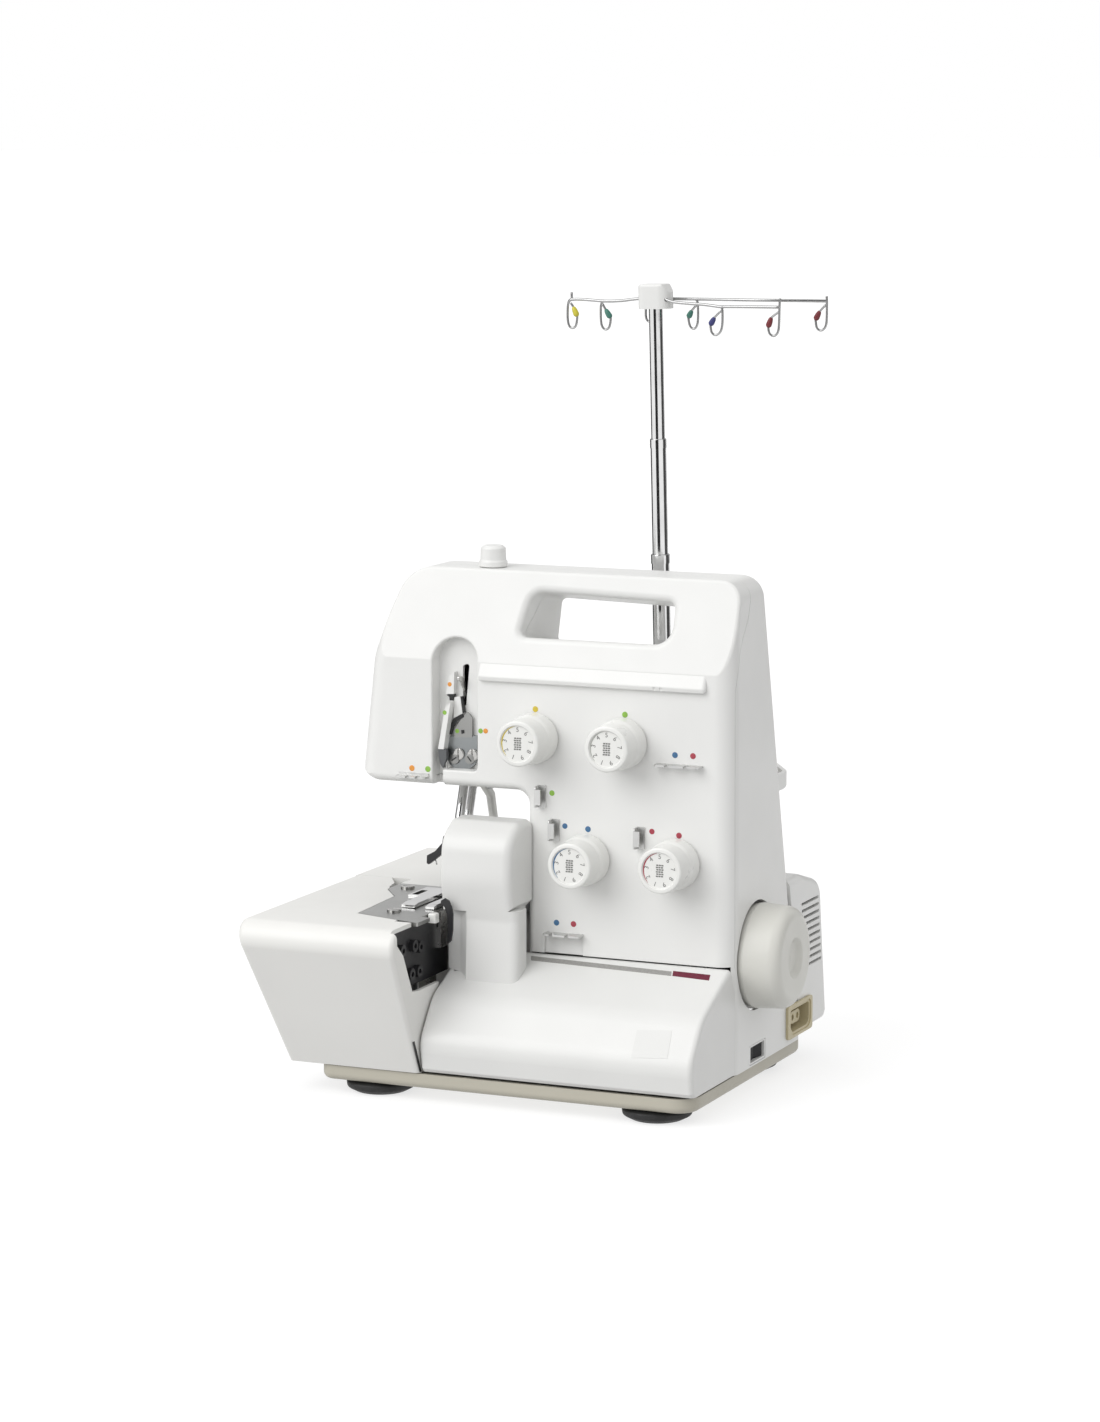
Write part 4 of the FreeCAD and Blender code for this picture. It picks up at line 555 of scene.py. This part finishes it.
# ----------------------------------------------- marks on the looper cover
bm = bmesh.new()
patch(bm, "looper_cover", ((531, 956.0), (671.6, 971.6), (671.2, 976.0), (531, 960.4)), 40, 2)
piece("cover_stripe", bm, "stripe", "cover")
bm = bmesh.new()
patch(bm, "looper_cover", ((673.2, 971.0), (710.4, 975.0), (709.0, 980.6), (672.4, 976.0)), 14, 3)
piece("cover_mark", bm, "maroon", "cover")
bm = bmesh.new()
patch(bm, "looper_cover", ((637, 1030), (672, 1030.5), (667.5, 1058.5), (631, 1058)), 12, 12, lift=0.00018)
piece("cover_pad", bm, "pad", "cover")


# ------------------------------------- needle thread path in its recess
def onY(px, py, y):
    """Where the line of sight through a picture point meets a front plane."""
    o, d = pixel_ray(px, py)
    return o + d * ((W(0, y, 0).y - o.y) / d.y)


BACK = Vector((0, 1, 0))


def plates(name, mat, body, items):
    bm = bmesh.new()
    for y, thick, pts in items:
        slab(bm, [onY(px, py, y) for px, py in pts], BACK, thick * MM)
    return piece(name, bm, mat, body)


lower_plate = plates("thread_plate", "thread_plate", "chassis", [
    (8.6, 2.3, [(448.6, 736.4), (477.0, 735.7), (477.4, 757), (474.5, 765), (468, 770.2), (462.9, 771.4), (456, 769.5), (450, 764.5), (446.4, 757), (446.4, 748.6)])])
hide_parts("needle_thread_plate")
plates("thread_fin", "fin", "chassis", [
    (8.2, 1.0, [(462.9, 716.4), (467.9, 712.1), (472.1, 717.9), (472.1, 737.4), (454.3, 737.4), (454.3, 729.3)])])
plates("thread_arm", "casing", "chassis", [
    (2.2, 8.7, [(445.0, 707.9), (450.4, 702.1), (443.4, 749.4), (437.9, 749.0)]),
    (6.5, 4.4, [(445.7, 694.0), (449.3, 675.7), (454.3, 672.1), (453.6, 694.0)]),
    (7.4, 3.5, [(451.7, 700.8), (454.0, 700.8), (450.3, 728), (447.6, 740), (446.7, 749.2), (444.9, 749.2)]),
    (8.0, 2.9, [(454.2, 697.1), (460.2, 696.4), (462.6, 714.4), (453.4, 719.0)])])
plates("thread_hook", "black", "chassis", [
    (7.6, 0.55, [(449.0, 734.5), (450.5, 723.6), (453.8, 718.2), (462.7, 713.4), (463.4, 717.3), (457.2, 721.3), (454.0, 726.6), (452.0, 734.5)]),
    (6.8, 4.1, [(446.4, 694.6), (453.0, 694.6), (452.6, 700.4), (449.6, 700.4), (449.3, 697.0)]),
    (7.9, 3.0, [(460.6, 696.8), (461.8, 696.8), (464.0, 712.6), (463.0, 713.2)]),
    (7.7, 0.4, [(461.0, 730.2), (463.4, 730.0), (464.0, 733.2), (461.6, 734.0)])])
plates("thread_tip", "motor", "chassis", [
    (2.6, 3.0, [(437.6, 749.6), (446.1, 749.6), (446.4, 757.9), (442.9, 768.1), (440.0, 763.6)])])
bm = bmesh.new()
sweep(bm, [onY(445.0, 758, 5.2), onY(446.8, 768, 5.2), onY(448.0, 776.4, 5.2)], 0.75 * MM)
piece("thread_stem", bm, "guide", "chassis")
bm = bmesh.new()
# the black bar on each screw head is painted shade standing for the dark of its slot
slot_shade = bmesh.new()
for px, py, ang in ((455.0, 758.6, 35.0), (470.4, 758.6, -50.0)):
    c = onY(px, py, 8.6)
    spot(bm, c, -BACK, 3.3 * MM, lift=1.5 * MM, sink=0.4 * MM)
    u = Vector((math.cos(math.radians(ang)), 0, math.sin(math.radians(ang))))
    v = Vector((-u.z, 0, u.x))
    f = c - BACK * (1.53 * MM)
    slab(slot_shade, [f + (u * a + v * b) * MM for a, b in ((-1.9, -0.4), (1.9, -0.4), (1.9, 0.4), (-1.9, 0.4))], BACK, 0.2 * MM)
piece("thread_screws", bm, "fin", "chassis")
piece("thread_screw_slot_shade", slot_shade, "black", "chassis")
for col, lst in (("orange", [(449.6, 684.3, 6.5)]), ("green", [(444.6, 712.6, 2.2), (457.2, 731.0, 8.2)])):
    bm = bmesh.new()
    for px, py, y in lst:
        spot(bm, onY(px, py, y), -BACK, 1.3 * MM)
    piece("thread_dots_" + col, bm, col, "chassis")

# ------------------------------------------- small pieces about the needle
plates("clamp_arm", "blackmetal", "needle_group", [
    (20.5, 3.6, [(442.4, 842.6), (444.6, 842.6), (444.2, 850.0), (441.6, 854.2), (435.3, 859.2), (428.6, 864.4), (426.7, 863.2), (426.9, 855.4), (434.9, 851.2)])])
bm = bmesh.new()
sweep(bm, [onY(434.9, 858.2, 22.0), onY(435.9, 861.4, 22.0), onY(436.8, 864.4, 22.0)], 0.42 * MM)
piece("clamp_pin", bm, "chrome", "needle_group")
plates("bay_shield", "blackmetal", "chassis", [
    (-36.5, 1.2, [(441.0, 900.5), (444.6, 898.2), (448.8, 900.9), (451.5, 907.0), (452.8, 914.4), (452.6, 930.0), (451.0, 941.0), (446.6, 945.0), (447.6, 930.0), (447.0, 915.0), (444.5, 907.0), (440.5, 904.0)])])

# painted shade: a thin black sheet for the dark slit at the front edge of the cloth plate's right wall
bm = bmesh.new()
slab(bm, [W(-170.55, y, z) for y, z in ((-69.9, 38.0), (-67.4, 38.0), (-58.1, 18.2), (-60.4, 18.2))], Vector((1, 0, 0)), 0.2 * MM)
piece("cloth_slit_shade", bm, "black", "cloth_table")


# -------------------------------------------------------------------- stage
def plane(name, size, loc, rot, mat):
    bm = bmesh.new()
    bmesh.ops.create_grid(bm, x_segments=1, y_segments=1, size=0.5)
    for v in bm.verts:
        v.co.x *= size[0]
        v.co.y *= size[1]
    me = bpy.data.meshes.new(name)
    bm.to_mesh(me)
    bm.free()
    ob = bpy.data.objects.new(name, me)
    ob.location = loc
    ob.rotation_euler = rot
    me.materials.append(mat)
    bpy.context.scene.collection.objects.link(ob)
    return ob


floor_m, nt, b = new_mat("floor_paper")
nt.links.new(ramp(nt, noise(nt, 3.0, 2.0), [(0.3, (0.33, 0.33, 0.33, 1)), (0.7, (0.35, 0.35, 0.35, 1))]), b.inputs["Base Color"])
b.inputs["Roughness"].default_value = 0.9
b.inputs["Specular IOR Level"].default_value = 0.1
b.inputs["Emission Color"].default_value = (1.0, 1.0, 1.0, 1.0)
b.inputs["Emission Strength"].default_value = 0.72
floor = plane("floor", (60.0, 60.0), (0, 0, 0), (0, 0, 0), floor_m)
floor.visible_diffuse = False

# dark flags beside the camera and behind, which the chrome mirrors
def flag_mat(name, grey):
    m, nt, b = new_mat(name)
    nt.links.new(ramp(nt, noise(nt, 30.0, 2.0), [(0.3, scaled((grey, grey, grey), 0.85)), (0.7, scaled((grey, grey, grey), 1.15))]), b.inputs["Base Color"])
    b.inputs["Roughness"].default_value = 0.95
    return m


FLAG_M = {"dark": flag_mat("flag_dark", 0.02), "grey": flag_mat("flag_grey", 0.06)}
MAST_C = W(MAST_X, MAST_Y, 300.0)
CAM_DIR = math.atan2(CAM_POS.y - MAST_C.y, CAM_POS.x - MAST_C.x)
for k, (mid, half, tone) in enumerate(((-16.0, 21.0, "dark"), (-128.0, 20.0, "grey"), (98.0, 27.0, "grey"), (156.0, 8.0, "dark"))):
    a = CAM_DIR + math.radians(mid)
    dist = 1.6
    wide = 2 * dist * math.tan(math.radians(half))
    o = plane("flag_%d" % (k + 1), (wide, 2.6), (MAST_C.x + dist * math.cos(a), MAST_C.y + dist * math.sin(a), 0.9), (math.pi / 2, 0.0, a + math.pi / 2), FLAG_M[tone])
    o.visible_camera = False
    o.visible_diffuse = False
    o.visible_shadow = False
    o.visible_transmission = False

DOME_LOW, DOME_HIGH = 0.50, 0.82
# soft dome: white to the eye, brighter above than below as a light
world = bpy.data.worlds.new("studio")
world.use_nodes = True
wt = world.node_tree
bg = wt.nodes["Background"]
bg.inputs["Color"].default_value = (1.0, 1.0, 1.0, 1.0)
wc = wt.nodes.new("ShaderNodeTexCoord")
sep = wt.nodes.new("ShaderNodeSeparateXYZ")
wt.links.new(wc.outputs["Generated"], sep.inputs["Vector"])
dome = mapr(wt, sep.outputs["Z"], -0.25, 0.35, DOME_LOW, DOME_HIGH)
path = wt.nodes.new("ShaderNodeLightPath")
mixw = wt.nodes.new("ShaderNodeMix")
wt.links.new(path.outputs["Is Camera Ray"], mixw.inputs[0])
wt.links.new(dome, mixw.inputs[2])
mixw.inputs[3].default_value = 1.0
wt.links.new(mixw.outputs[0], bg.inputs["Strength"])
bpy.context.scene.world = world


def sun(name, towards, strength, angle):
    d = bpy.data.lights.new(name, "SUN")
    d.energy = strength
    d.angle = math.radians(angle)
    o = bpy.data.objects.new(name, d)
    o.rotation_euler = (-Vector(towards)).to_track_quat("-Z", "Y").to_euler()
    o.location = Vector(towards) * 3
    bpy.context.scene.collection.objects.link(o)
    return o


# soft key from the upper left front
sun("key", (-0.37, -0.72, 0.58), 1.50, 50.0)

scene = bpy.context.scene
scene.view_settings.view_transform = "Standard"
